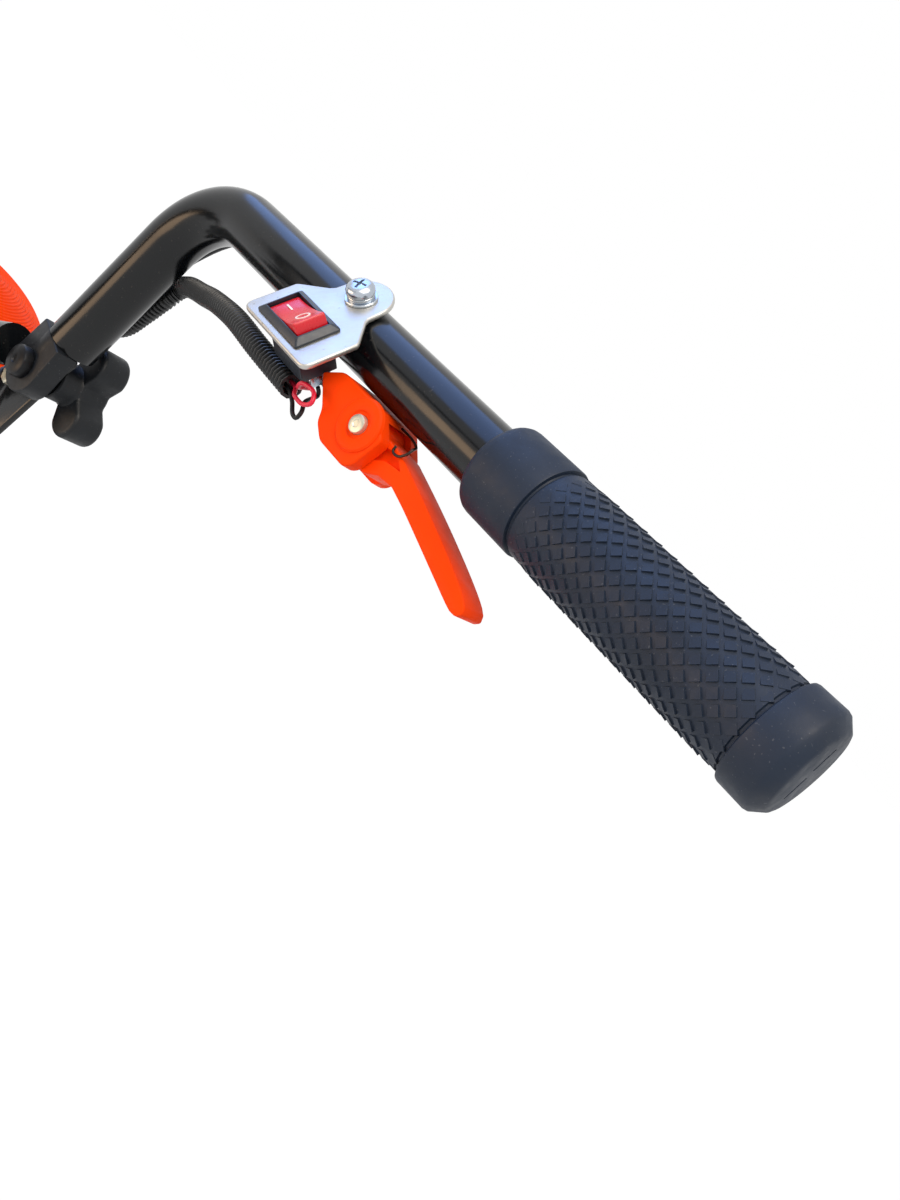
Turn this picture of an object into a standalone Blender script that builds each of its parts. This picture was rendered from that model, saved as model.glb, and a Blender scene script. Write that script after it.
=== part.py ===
"""Mini tiller: J-shaped handles with a throttle lever and a switch, on a vertical two-stroke engine
that drives four tines through a worm gear. Sizes are in millimetres and become metres in solid()."""
import bmesh
import bpy
from math import asin, atan2, cos, degrees, hypot, pi, radians, sin, sqrt, tan
from mathutils import Matrix, Vector

for leftover in list(bpy.data.objects):
    bpy.data.objects.remove(leftover)

METRES = 0.001
GAP = 0.3

# Handle: the front run rises from the pivot, the rear run carries the grip
TUBE_DIAMETER = 22.2
TUBE_WALL = 1.6
PIVOT_X = 62.0
PIVOT_Y = -245.0
PIVOT_Z = 600.0
SPLAY_DEGREES = 28.0
RUN_SLOPE_DEGREES = 6.0
BEND_DEGREES = 77.7
BEND_RADIUS = 37.0
FRONT_RUN = 112.0
REAR_RUN = 311.0
TUBE_START = 19.0

# Grip
GRIP_DIAMETER = 31.2
GRIP_LENGTH = 119.5
GRIP_COLLAR = 23.0
GRIP_CAP = 13.5
GRIP_CAP_DIAMETER = 32.6

# Switch on its bracket
BRACKET_TILT_DEGREES = 54.0
BRACKET_THICKNESS = 2.0
BRACKET_CENTRE = 112.5
BEZEL_LENGTH = 26.0
BEZEL_WIDTH = 16.5
BEZEL_HEIGHT = 2.4
SWITCH_CENTRE = -21.3
SWITCH_SHIFT = -1.5
SCREW_RADIUS = 2.4
SCREW_OFFSET = 1.0
SWITCH_DEPTH = 14.0
SWITCH_BODY_HALF = 9.7
BEZEL_RIM = 2.8
TERMINAL_OFFSET = 6.5
TERMINAL_LENGTH = 6.0
ROCKER_TILT_DEGREES = 13.5

# Throttle
LEVER_PIVOT_RUN = 148.6
LEVER_PIVOT_DROP = 20.0
CABLE_DROP = 20.5
HOUSING_HALF_WIDTH = 11.0
LEVER_HALF_WIDTH = 6.0
PIN_DIAMETER = 6.5
SPRING_WIRE = 0.9

# Conduit and wires
CONDUIT_DIAMETER = 9.0
CONDUIT_BORE = 6.6
CONDUIT_PITCH = 8.0
WIRE_DIAMETER = 1.5
CABLE_DIAMETER = 4.0

# Joint between handle and frame
PLATE_THICKNESS = 3.0
LUG_THICKNESS = 10.0
KNOB_RADIUS = 24.5
KNOB_HEIGHT = 15.0
BOLT_DIAMETER = 8.0
LEG_DIAMETER = 19.0
LEG_SPACING = 30.0
PLATE_BOLT_Y = 17.0
PLATE_BOLT_Z = -16.5
KNOB_STANDOFF = 9.0
LEG_FOOT_Y = -92.0

# Tines and gear
TINE_RADIUS = 110.0
TINE_BLADES = 6
TINE_THICKNESS = 3.0
TIP_HALF_DEGREES = 3.0
TINE_INNER_X = 62.0
TINE_OUTER_X = 122.0
SHAFT_DIAMETER = 20.0
WHEEL_TEETH = 20
WHEEL_PITCH_RADIUS = 25.0
WORM_PITCH_RADIUS = 9.0
TOOTH_DEPTH = 3.2
CASE_HALF_WIDTH = 22.0

# Heights of the stack on the vertical crankshaft
GEAR_TOP = 222.0
GUARD_THICKNESS = 2.0
CLUTCH_TOP = 280.0
ENGINE_PLATE = 4.0
CRANKCASE_HEIGHT = 103.7
FAN_RADIUS = 80.0
FAN_HEIGHT = 82.0
DOME_HEIGHT = 58.0
SHELL = 2.5
POST_RADIUS = 5.0
PULLEY_GROOVE = 29.0
CYLINDER_RISE = 50.0
STARTER_OFFSET = 30.0
STARTER_RISE = 14.0
STARTER_STANDOFF = 8.138
STAKE_Y = -140.0

AXLE_Z = TINE_RADIUS * cos(radians(180 / TINE_BLADES - TIP_HALF_DEGREES))
ENGINE_Y = WHEEL_PITCH_RADIUS + WORM_PITCH_RADIUS
PLATE_TOP = CLUTCH_TOP + ENGINE_PLATE
CYLINDER_Z = PLATE_TOP + CYLINDER_RISE
FAN_BOTTOM = PLATE_TOP + CRANKCASE_HEIGHT + GAP
FAN_TOP = FAN_BOTTOM + FAN_HEIGHT
TUBE_RADIUS = TUBE_DIAMETER / 2
LEG_RADIUS = LEG_DIAMETER / 2
SHAFT_RADIUS = SHAFT_DIAMETER / 2
GRIP_START = REAR_RUN - GRIP_LENGTH

PAINTS = {
    "gloss_black": ((0.012, 0.013, 0.015), 0.25, 0.0),
    "grip_rubber": ((0.02, 0.021, 0.024), 0.65, 0.0),
    "orange_plastic": ((0.9, 0.09, 0.012), 0.4, 0.0),
    "red_plastic": ((0.65, 0.01, 0.015), 0.3, 0.0),
    "black_plastic": ((0.018, 0.018, 0.02), 0.45, 0.0),
    "zinc_plate": ((0.6, 0.59, 0.56), 0.35, 1.0),
    "bright_steel": ((0.62, 0.62, 0.6), 0.3, 1.0),
    "spring_steel": ((0.12, 0.12, 0.12), 0.4, 1.0),
    "cast_aluminium": ((0.42, 0.42, 0.42), 0.5, 1.0),
    "bronze": ((0.45, 0.3, 0.12), 0.4, 1.0),
    "tine_steel": ((0.03, 0.03, 0.032), 0.5, 0.0),
    "fuel_plastic": ((0.75, 0.74, 0.68), 0.5, 0.0),
    "wire_red_skin": ((0.6, 0.015, 0.02), 0.4, 0.0),
}


def paint(name):
    found = bpy.data.materials.get(name)
    if found:
        return found
    colour, roughness, metallic = PAINTS[name]
    material = bpy.data.materials.new(name)
    material.use_nodes = True
    shader = material.node_tree.nodes["Principled BSDF"]
    shader.inputs["Base Color"].default_value = (*colour, 1.0)
    shader.inputs["Roughness"].default_value = roughness
    shader.inputs["Metallic"].default_value = metallic
    return material


def axes(origin, x, y, z):
    """Matrix that takes local coordinates along x, y, z to the row frame."""
    matrix = Matrix.Identity(4)
    for column, vector in enumerate((x, y, z, origin)):
        for row in range(3):
            matrix[row][column] = vector[row]
    return matrix


def upright(x=0.0, y=0.0, z=0.0):
    return Matrix.Translation((x, y, z))


def along_x(x=0.0, y=0.0, z=0.0):
    return axes((x, y, z), (0, 1, 0), (0, 0, 1), (1, 0, 0))


def along_y(x=0.0, y=0.0, z=0.0):
    return axes((x, y, z), (0, 0, 1), (1, 0, 0), (0, 1, 0))


def placed(bm, matrix):
    bmesh.ops.transform(bm, matrix=matrix, verts=bm.verts)
    return bm


def lathe(profile, count, closed=False):
    """Turns (radius, height) points about local Z."""
    bm = bmesh.new()
    rings = []
    for radius, height in profile:
        if radius < 1e-6:
            rings.append([bm.verts.new((0, 0, height))])
            continue
        turn = [2 * pi * i / count for i in range(count)]
        rings.append([bm.verts.new((radius * cos(t), radius * sin(t), height)) for t in turn])
    pairs = list(zip(rings, rings[1:]))
    if closed:
        pairs.append((rings[-1], rings[0]))
    for low, high in pairs:
        for i in range(count):
            j = (i + 1) % count
            quad = [low[i % len(low)], low[j % len(low)], high[j % len(high)], high[i % len(high)]]
            corners = list(dict.fromkeys(quad))
            if len(corners) > 2:
                bm.faces.new(corners)
    return bm


def cylinder(radius, low, high, count=24, chamfer=0.0):
    if chamfer:
        return lathe([(0, low), (radius - chamfer, low), (radius, low + chamfer),
                      (radius, high - chamfer), (radius - chamfer, high), (0, high)], count)
    return lathe([(0, low), (radius, low), (radius, high), (0, high)], count)


def prism(outline, low, high, holes=()):
    """Raises a flat outline, with its holes, along local Z."""
    bm = bmesh.new()
    edges = []
    for loop in (outline, *holes):
        verts = [bm.verts.new((x, y, low)) for x, y in loop]
        edges += [bm.edges.new(pair) for pair in zip(verts, verts[1:] + verts[:1])]
    if holes:
        bmesh.ops.triangle_fill(bm, use_beauty=True, edges=edges)
    else:
        bm.faces.new(bm.verts[:])
    raised = bmesh.ops.extrude_face_region(bm, geom=bm.faces[:])["geom"]
    moved = [item for item in raised if isinstance(item, bmesh.types.BMVert)]
    bmesh.ops.translate(bm, verts=moved, vec=(0, 0, high - low))
    return bm


def block(low, high):
    x0, y0, z0 = low
    x1, y1, z1 = high
    return prism([(x0, y0), (x1, y0), (x1, y1), (x0, y1)], z0, z1)


def arc(x, y, radius, start, end, count):
    """Points on an arc, from start to end in degrees."""
    turns = [radians(start + (end - start) * i / count) for i in range(count + 1)]
    return [(x + radius * cos(t), y + radius * sin(t)) for t in turns]


def circle(x, y, radius, count=20):
    return arc(x, y, radius, 0, 360, count)[:-1]


def rounded(x0, y0, x1, y1, radius, steps=4):
    corners = ((x1, y1, 0), (x0, y1, 90), (x0, y0, 180), (x1, y0, 270))
    points = []
    for x, y, start in corners:
        inward_x = x - radius if x == x1 else x + radius
        inward_y = y - radius if y == y1 else y + radius
        points += arc(inward_x, inward_y, radius, start, start + 90, steps)
    return points


def fillet(points, radius, steps):
    """Rounds the inner corners of a 3-D polyline; radius is one number or one for each corner."""
    points = [Vector(p) for p in points]
    route = [points[0]]
    for index in range(1, len(points) - 1):
        bend = radius[index - 1] if isinstance(radius, (list, tuple)) else radius
        before = (points[index] - points[index - 1]).normalized()
        after = (points[index + 1] - points[index]).normalized()
        turn = before.angle(after)
        setback = bend * tan(turn / 2)
        start = points[index] - before * setback
        side = (after - before * before.dot(after)).normalized()
        centre = start + side * bend
        for step in range(steps + 1):
            t = turn * step / steps
            route.append(centre + (before * sin(t) - side * cos(t)) * bend)
    route.append(points[-1])
    return route


def smooth_route(points, spacing):
    """Evenly spaced points on a smooth curve through the given points."""
    points = [Vector(p) for p in points]
    ends = [points[0] * 2 - points[1], *points, points[-1] * 2 - points[-2]]
    fine = []
    for a, b, c, d in zip(ends, ends[1:], ends[2:], ends[3:]):
        for step in range(24):
            t = step / 24
            fine.append(0.5 * (2 * b + (c - a) * t + (2 * a - 5 * b + 4 * c - d) * t * t
                               + (3 * b - a - 3 * c + d) * t * t * t))
    fine.append(points[-1])
    total = sum((q - p).length for p, q in zip(fine, fine[1:]))
    count = max(2, round(total / spacing))
    route = [fine[0]]
    walked = 0.0
    for p, q in zip(fine, fine[1:]):
        step = (q - p).length
        while len(route) < count and walked + step >= total * len(route) / count:
            share = (total * len(route) / count - walked) / step
            route.append(p.lerp(q, share))
        walked += step
    route.append(fine[-1])
    return route


def frames(route):
    """Tangent and two normals at each point, turned as little as possible along the route."""
    found = []
    normal = None
    for index, point in enumerate(route):
        before = route[max(index - 1, 0)]
        after = route[min(index + 1, len(route) - 1)]
        tangent = (after - before).normalized()
        if normal is None:
            axis = Vector((0, 0, 1)) if abs(tangent.z) < 0.9 else Vector((1, 0, 0))
            normal = axis
        normal = (normal - tangent * normal.dot(tangent)).normalized()
        found.append((point, normal, tangent.cross(normal)))
    return found


def sweep(route, radius, count=12, bore=0.0, bore_step=1):
    """Round bar or tube along a route; radius is one number or one for each point."""
    bm = bmesh.new()
    radii = radius if isinstance(radius, list) else [radius] * len(route)
    turn = [2 * pi * i / count for i in range(count)]
    stations = frames(route)
    outer_rows = [(station, size) for station, size in zip(stations, radii)]
    bore_rows = [(station, bore) for station in stations[:-1:bore_step] + stations[-1:]]
    skins = []
    for rows in ([outer_rows, bore_rows] if bore else [outer_rows]):
        skin = []
        for (point, side, top), size in rows:
            skin.append([bm.verts.new(point + (side * cos(t) + top * sin(t)) * size) for t in turn])
        skins.append(skin)
        for low, high in zip(skin, skin[1:]):
            for i in range(count):
                j = (i + 1) % count
                bm.faces.new((low[i], low[j], high[j], high[i]))
    for end in (0, -1):
        if bore:
            for i in range(count):
                j = (i + 1) % count
                outer, inner = skins[0][end], skins[1][end]
                bm.faces.new((outer[i], outer[j], inner[j], inner[i]))
        else:
            bm.faces.new(skins[0][end])
    return bm


def softened(bm, width, least_degrees=40.0, keep=None):
    """Chamfers the sharp edges of a shape."""
    bmesh.ops.recalc_face_normals(bm, faces=bm.faces)
    sharp = [e for e in bm.edges if len(e.link_faces) == 2
             and e.calc_face_angle(0) > radians(least_degrees) and (keep is None or keep(e))]
    bmesh.ops.bevel(bm, geom=sharp, offset=width, segments=1, profile=0.5,
                    affect="EDGES", clamp_overlap=True)
    bmesh.ops.remove_doubles(bm, verts=bm.verts, dist=0.01)
    return bm


def as_object(name, bm):
    bmesh.ops.triangulate(bm, faces=[f for f in bm.faces if len(f.verts) > 4])
    bmesh.ops.recalc_face_normals(bm, faces=bm.faces)
    mesh = bpy.data.meshes.new(name)
    bm.to_mesh(mesh)
    bm.free()
    obj = bpy.data.objects.new(name, mesh)
    bpy.context.scene.collection.objects.link(obj)
    return obj


def combined(base, *steps):
    """Adds and cuts shapes in turn: each step is ("UNION" or "DIFFERENCE", shape)."""
    whole = as_object("whole", base)
    for operation, shape in steps:
        tool = as_object("tool", shape)
        modifier = whole.modifiers.new("join", "BOOLEAN")
        modifier.operation = operation
        modifier.solver = "EXACT"
        modifier.object = tool
        bpy.context.view_layer.update()
        result = bpy.data.meshes.new_from_object(
            whole.evaluated_get(bpy.context.evaluated_depsgraph_get()))
        whole.modifiers.clear()
        whole.data = result
        bpy.data.objects.remove(tool)
    bm = bmesh.new()
    bm.from_mesh(whole.data)
    bpy.data.objects.remove(whole)
    bmesh.ops.remove_doubles(bm, verts=bm.verts, dist=0.002)
    bmesh.ops.dissolve_degenerate(bm, edges=bm.edges, dist=0.002)
    return bm


def solid(name, bm, finish, pivot=None, smooth_degrees=35.0):
    """Makes the named piece in metres, with its origin on its own pivot when it moves."""
    origin = Vector(pivot) if pivot is not None else Vector()
    bmesh.ops.transform(bm, matrix=Matrix.Scale(METRES, 4) @ Matrix.Translation(-origin), verts=bm.verts)
    obj = as_object(name, bm)
    obj.location = origin * METRES
    obj.data.materials.clear()
    obj.data.materials.append(paint(finish))
    for face in obj.data.polygons:
        face.use_smooth = True
        face.material_index = 0
    obj.data.set_sharp_from_angle(angle=radians(smooth_degrees))
    return obj


class Side:
    """One handle side: local out, forward and up directions at the pivot, and along the rear run."""

    def __init__(self, sign):
        splay = radians(SPLAY_DEGREES)
        slope = radians(RUN_SLOPE_DEGREES)
        rise = radians(RUN_SLOPE_DEGREES + BEND_DEGREES)
        self.name = "right" if sign > 0 else "left"
        self.pivot = Vector((sign * PIVOT_X, PIVOT_Y, PIVOT_Z))
        self.out = Vector((sign * cos(splay), sin(splay), 0))
        self.ahead = Vector((-sign * sin(splay), cos(splay), 0))
        self.up = Vector((0, 0, 1))
        self.run = self.ahead * -cos(slope) + self.up * sin(slope)
        self.drop = self.ahead * -sin(slope) - self.up * cos(slope)
        self.rise = self.ahead * -cos(rise) + self.up * sin(rise)
        self.corner = self.pivot + self.rise * FRONT_RUN

    def at(self, out, ahead, up):
        return self.pivot + self.out * out + self.ahead * ahead + self.up * up

    def on_run(self, along, drop, out):
        return self.corner + self.run * along + self.drop * drop + self.out * out

    def on_front(self, height, fore, out):
        """Point beside the front run: height along it from the pivot, fore towards the engine."""
        across = self.out.cross(self.rise) * (-1 if self.name == "right" else 1)
        return self.pivot + self.rise * height + across * fore + self.out * out

    def joint_frame(self, out=0.0):
        """Local Z points outward from the pivot, X forward, Y up."""
        return axes(self.at(out, 0, 0), self.ahead, self.up, self.out)

    def run_frame(self, along=0.0):
        """Local Z runs to the grip end, X down, Y outward."""
        return axes(self.on_run(along, 0, 0), self.drop, self.out, self.run)

    def side_frame(self):
        """Local X runs to the grip end, Y down, Z outward, from the bend corner."""
        return axes(self.corner, self.run, self.drop, self.out)


def handle_tube(side):
    start = side.pivot + side.rise * TUBE_START
    end = side.on_run(REAR_RUN - 6.0, 0, 0)
    route = fillet([start, side.corner, end], BEND_RADIUS, 7)
    body = sweep(route, TUBE_RADIUS, 14, TUBE_RADIUS - TUBE_WALL)
    if side.name == "right":
        hole = placed(cylinder(SCREW_RADIUS + GAP, TUBE_RADIUS - 4.0, TUBE_RADIUS + 4.0, 12),
                      bracket_frame(side) @ Matrix.Translation((0, SCREW_OFFSET, 0)))
        body = combined(body, ("DIFFERENCE", hole))
    solid(f"handle_tube_{side.name}", body, "gloss_black", side.pivot)


def grip(side):
    radius = GRIP_DIAMETER / 2
    bore = TUBE_RADIUS + GAP
    cap = GRIP_CAP_DIAMETER / 2
    cap_start = GRIP_LENGTH - GRIP_CAP
    floor = GRIP_LENGTH - 5.0
    profile = [(0, floor), (bore, floor), (bore, 0), (radius - 1.2, 0), (radius, 1.6), (radius, GRIP_COLLAR),
               (radius - 0.8, GRIP_COLLAR + 0.6), (radius - 0.8, cap_start),
               (cap, cap_start + 0.6), (cap, GRIP_LENGTH - 3.5), (cap - 3.5, GRIP_LENGTH), (0, GRIP_LENGTH)]
    body = lathe(profile, 16)
    solid(f"grip_{side.name}", placed(body, side.run_frame(GRIP_START)), "grip_rubber", side.pivot)


def handle_lug(side):
    """Flat eye on the pivot with a plug that carries the tube end."""
    lean = Matrix.Rotation(radians(90 - RUN_SLOPE_DEGREES - BEND_DEGREES), 4, "Z")
    eye_radius = 13.0
    outline = arc(0, 0, eye_radius, 180, 360, 8) + [(eye_radius - 1.5, TUBE_START - GAP),
                                                      (-eye_radius + 1.5, TUBE_START - GAP)]
    body = prism(outline, -LUG_THICKNESS - GAP, -GAP, [circle(0, 0, BOLT_DIAMETER / 2 + GAP, 12)])
    plug = placed(cylinder(TUBE_RADIUS - TUBE_WALL - GAP, 10.0, TUBE_START + 14.0, 12),
                  axes((0, 0, 0), (0, 0, 1), (1, 0, 0), (0, 1, 0)))
    cut = block((-20, -20, -GAP), (20, TUBE_START - GAP, 20))
    collar = placed(cylinder(TUBE_RADIUS, TUBE_START - 10.5, TUBE_START - GAP, 16),
                    axes((0, 0, 0), (0, 0, 1), (1, 0, 0), (0, 1, 0)))
    body = combined(body, ("UNION", collar), ("UNION", plug), ("DIFFERENCE", cut))
    placed(body, side.joint_frame() @ lean)
    solid(f"handle_lug_{side.name}", body, "black_plastic", side.pivot)


def joint_plate(side):
    """Flat side plate: pivot hole at the top, clamp bolt in front, hangs down behind the leg."""
    outline = [(-10.3, 14.4), (-5.3, -7.6), (0.0, -35.1), (6.5, -66.0), (10.0, -70.0), (24.0, -70.0),
               (28.0, -66.0), (26.3, -24.5), (25.6, -12.0), (14.0, 10.5), (7.5, 15.5), (3.0, 17.4),
               (-7.6, 16.2)]
    holes = [circle(0, 0, BOLT_DIAMETER / 2 + GAP, 12), circle(PLATE_BOLT_Y, PLATE_BOLT_Z, 3.3, 12)]
    body = prism(outline, 0, PLATE_THICKNESS, holes)
    solid(f"joint_plate_{side.name}", placed(body, side.joint_frame()), "gloss_black")


def pivot_bolt(side):
    radius = BOLT_DIAMETER / 2
    head = -LUG_THICKNESS - 2 * GAP
    profile = [(0, head - 4.5), (6.0, head - 4.5), (7.2, head - 2.8), (7.2, head), (radius, head),
               (radius, PLATE_THICKNESS + 16.0), (0, PLATE_THICKNESS + 16.0)]
    solid(f"pivot_bolt_{side.name}", placed(lathe(profile, 12), side.joint_frame()), "bright_steel")


def star_knob(side):
    """Three-lobed clamping knob on the outer end of the pivot bolt."""
    outline = []
    for lobe in range(3):
        centre = radians(68 + 120 * lobe)
        reach = KNOB_RADIUS - 9.5
        outline += arc(reach * cos(centre), reach * sin(centre), 9.5, degrees(centre) - 75,
                       degrees(centre) + 75, 5)
    base = PLATE_THICKNESS + GAP
    foot = base + KNOB_STANDOFF
    body = softened(prism(outline, foot, foot + KNOB_HEIGHT), 1.5)
    hub = cylinder(9.5, base, foot + 2.0, 14)
    bore = cylinder(BOLT_DIAMETER / 2 + GAP, base - 5.0, foot + 9.0, 12)
    body = combined(body, ("UNION", hub), ("DIFFERENCE", bore))
    solid(f"star_knob_{side.name}", placed(body, side.joint_frame()), "black_plastic", side.pivot)


def plate_bolt(side):
    """Fixes the joint plate to the leg's tab; its head shows on the inner face."""
    profile = [(0, -3.6), (3.6, -3.6), (4.4, -3.0), (4.4, -GAP), (3.0, -GAP),
               (3.0, PLATE_THICKNESS + 4.0), (0, PLATE_THICKNESS + 4.0)]
    matrix = side.joint_frame() @ Matrix.Translation((PLATE_BOLT_Y, PLATE_BOLT_Z, 0))
    solid(f"plate_bolt_{side.name}", placed(lathe(profile, 12), matrix), "bright_steel")


def leg_route(side):
    sign = 1 if side.name == "right" else -1
    inner = -LEG_RADIUS - GAP
    foot = Vector((sign * LEG_SPACING, LEG_FOOT_Y, PLATE_TOP))
    return fillet([side.at(inner, 15.5, -1.5), side.at(inner, 47.0, -22.0),
                   foot + Vector((0, 0, 38.0)), foot], [40.0, 40.0], 4)


def leg_tube(side):
    solid(f"leg_tube_{side.name}", sweep(leg_route(side), LEG_RADIUS, 10, LEG_RADIUS - TUBE_WALL),
          "gloss_black")


def bracket_frame(side):
    """Local X runs along the tube, Y across the plate towards the screw, Z away from the tube."""
    tilt = radians(BRACKET_TILT_DEGREES)
    normal = side.drop * -cos(tilt) - side.out * sin(tilt)
    across = side.out * cos(tilt) - side.drop * sin(tilt)
    return axes(side.on_run(BRACKET_CENTRE, 0, 0), side.run, across, normal)


def switch_bracket(side):
    low = TUBE_RADIUS + GAP
    outline = [(20.5, -30.0), (18.5, -32.0), (-18.5, -32.0), (-20.5, -30.0), (-20.5, -12.0),
               (-10.5, -3.0)] + arc(0, 1.5, 10.5, 180, 0, 8) + [(10.5, -3.0), (20.5, -12.0)]
    left_edge, right_edge = SWITCH_SHIFT - SWITCH_BODY_HALF - GAP, SWITCH_SHIFT + SWITCH_BODY_HALF + GAP
    hole = [(left_edge, SWITCH_CENTRE - 7.0), (right_edge, SWITCH_CENTRE - 7.0),
            (right_edge, SWITCH_CENTRE + 7.0), (left_edge, SWITCH_CENTRE + 7.0)]
    screw_hole = circle(0, SCREW_OFFSET, SCREW_RADIUS + 0.4, 12)
    body = prism(outline, low, low + BRACKET_THICKNESS, [hole, screw_hole])
    solid("switch_bracket", placed(body, bracket_frame(side)), "zinc_plate", side.pivot)


def switch_frame(side):
    """Bracket frame moved to the middle of the switch window."""
    return bracket_frame(side) @ Matrix.Translation((SWITCH_SHIFT, SWITCH_CENTRE, 0))


def switch_body(side):
    low = TUBE_RADIUS + GAP
    top = low + BRACKET_THICKNESS
    length = BEZEL_LENGTH / 2
    width = BEZEL_WIDTH / 2
    bezel = softened(block((-length, -width, top), (length, width, top + BEZEL_HEIGHT)), 0.9,
                     keep=lambda e: min(v.co.z for v in e.verts) > top + BEZEL_HEIGHT / 2)
    body = block((-SWITCH_BODY_HALF, -6.7, low - SWITCH_DEPTH), (SWITCH_BODY_HALF, 6.7, top + 0.2))
    mouth = block((-length + BEZEL_RIM, -width + BEZEL_RIM, top - 7.0),
                  (length - BEZEL_RIM, width - BEZEL_RIM, top + 9.0))
    tabs = [block((offset - 0.4, -2.4, low - SWITCH_DEPTH - TERMINAL_LENGTH),
                  (offset + 0.4, 2.4, low - SWITCH_DEPTH + 1.0))
            for offset in (-TERMINAL_OFFSET, TERMINAL_OFFSET)]
    shape = combined(bezel, ("UNION", body), ("DIFFERENCE", mouth), *[("UNION", tab) for tab in tabs])
    solid("switch_body", placed(shape, switch_frame(side)), "black_plastic", side.pivot)


def rocker_pivot(side):
    return switch_frame(side) @ Vector((0, 0, TUBE_RADIUS + GAP + BRACKET_THICKNESS - 1.0))


def switch_rocker(side):
    """Two-faced rocker, turned about an axis across the bezel; its far end is pressed in."""
    half = BEZEL_LENGTH / 2 - BEZEL_RIM - 5 * GAP
    width = BEZEL_WIDTH / 2 - BEZEL_RIM - GAP
    outline = [(-half, 4.0), (0, 3.3), (half, 4.0), (half, 1.0), (4.5, -4.2), (-4.5, -4.2), (-half, 1.0)]
    turned = axes((0, 0, TUBE_RADIUS + GAP + BRACKET_THICKNESS - 1.0), (1, 0, 0), (0, 0, 1), (0, -1, 0))
    tilt = Matrix.Rotation(radians(ROCKER_TILT_DEGREES), 4, "Z")
    body = placed(prism(outline, -width, width), switch_frame(side) @ turned @ tilt)
    solid("switch_rocker", body, "red_plastic", rocker_pivot(side))


def bracket_fixings(side):
    face = TUBE_RADIUS + GAP + BRACKET_THICKNESS
    matrix = bracket_frame(side) @ Matrix.Translation((0, SCREW_OFFSET, 0))
    flat = lathe([(2.8, face), (5.6, face), (5.6, face + 1.0), (2.8, face + 1.0)], 16, True)
    lock = lathe([(2.8, face + 1.0), (4.7, face + 1.0), (4.7, face + 2.4), (2.8, face + 2.4)], 14, True)
    seat = face + 2.4
    head = lathe([(0, 5.0), (SCREW_RADIUS, 5.0), (SCREW_RADIUS, seat), (4.9, seat), (4.9, seat + 1.8),
                  (3.9, seat + 3.1), (2.0, seat + 3.5), (0, seat + 3.5)], 14)
    for turn in (0.0, 90.0):
        slot = placed(block((-2.2, -0.45, seat + 1.8), (2.2, 0.45, seat + 6.0)),
                      Matrix.Rotation(radians(turn), 4, "Z"))
        head = combined(head, ("DIFFERENCE", slot))
    solid("bracket_flat_washer", placed(flat, matrix), "bright_steel", side.pivot)
    solid("bracket_lock_washer", placed(lock, matrix), "bright_steel", side.pivot)
    solid("bracket_screw", placed(head, matrix), "bright_steel", side.pivot)


def throttle_housing(side):
    """Orange clamp body under the tube, forked round the lever's hub."""
    outline = [(120.5, 17.0), (128.5, TUBE_RADIUS + GAP + 0.4), (151.0, TUBE_RADIUS + GAP + 0.4),
               (159.5, 18.5), (156.5, 30.5), (153.5, 33.0), (139.0, 33.0), (133.0, 29.5), (131.0, 25.5)]
    body = softened(prism(outline, -HOUSING_HALF_WIDTH, HOUSING_HALF_WIDTH), 1.4)
    x, y = LEVER_PIVOT_RUN, LEVER_PIVOT_DROP
    boss = placed(cylinder(9.0, -HOUSING_HALF_WIDTH - 1.2, -HOUSING_HALF_WIDTH + 1.5, 18),
                  Matrix.Translation((x, y, 0)))
    slot = block((134.5, TUBE_RADIUS + 2.4, -LEVER_HALF_WIDTH - GAP), (170.0, 45.0, LEVER_HALF_WIDTH + GAP))
    pin = placed(cylinder(PIN_DIAMETER / 2 + 0.1, -20.0, 20.0, 16), Matrix.Translation((x, y, 0)))
    cable_axis = axes((0, CABLE_DROP, 0), (0, 1, 0), (0, 0, 1), (1, 0, 0))
    cable = placed(cylinder(2.4, 100.0, 140.0, 12), cable_axis)
    recess = placed(cylinder(5.4, 100.0, 131.2, 14), cable_axis)
    body = combined(body, ("UNION", boss), ("DIFFERENCE", slot), ("DIFFERENCE", pin), ("DIFFERENCE", cable),
                    ("DIFFERENCE", recess))
    solid("throttle_housing", placed(body, side.side_frame()), "orange_plastic", side.pivot)


def lever_pivot(side):
    return side.on_run(LEVER_PIVOT_RUN, LEVER_PIVOT_DROP, 0)


def throttle_lever(side):
    """Hub on the pin and a long finger blade that bows away from the grip."""
    x, y = LEVER_PIVOT_RUN, LEVER_PIVOT_DROP
    hub = 5.9
    outline = [(x + hub * cos(radians(t)), y + hub * sin(radians(t))) for t in range(-250, -29, 20)]
    outline += [(164.0, 17.4), (175.5, 20.2), (187.0, 23.2), (199.5, 26.8), (209.0, 29.8), (215.5, 32.2),
                (218.8, 34.2), (219.4, 36.0), (217.6, 37.9), (214.0, 37.8), (204.0, 35.2), (192.0, 32.0),
                (179.0, 28.6), (170.0, 26.6), (163.0, 27.4), (157.5, 30.4), (150.5, 30.4), (145.5, 27.5)]
    body = softened(prism(outline, -LEVER_HALF_WIDTH, LEVER_HALF_WIDTH), 1.2)
    pin = placed(cylinder(PIN_DIAMETER / 2 + 0.1, -20.0, 20.0, 16), Matrix.Translation((x, y, 0)))
    body = combined(body, ("DIFFERENCE", pin))
    solid("throttle_lever", placed(body, side.side_frame()), "orange_plastic", lever_pivot(side))


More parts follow.
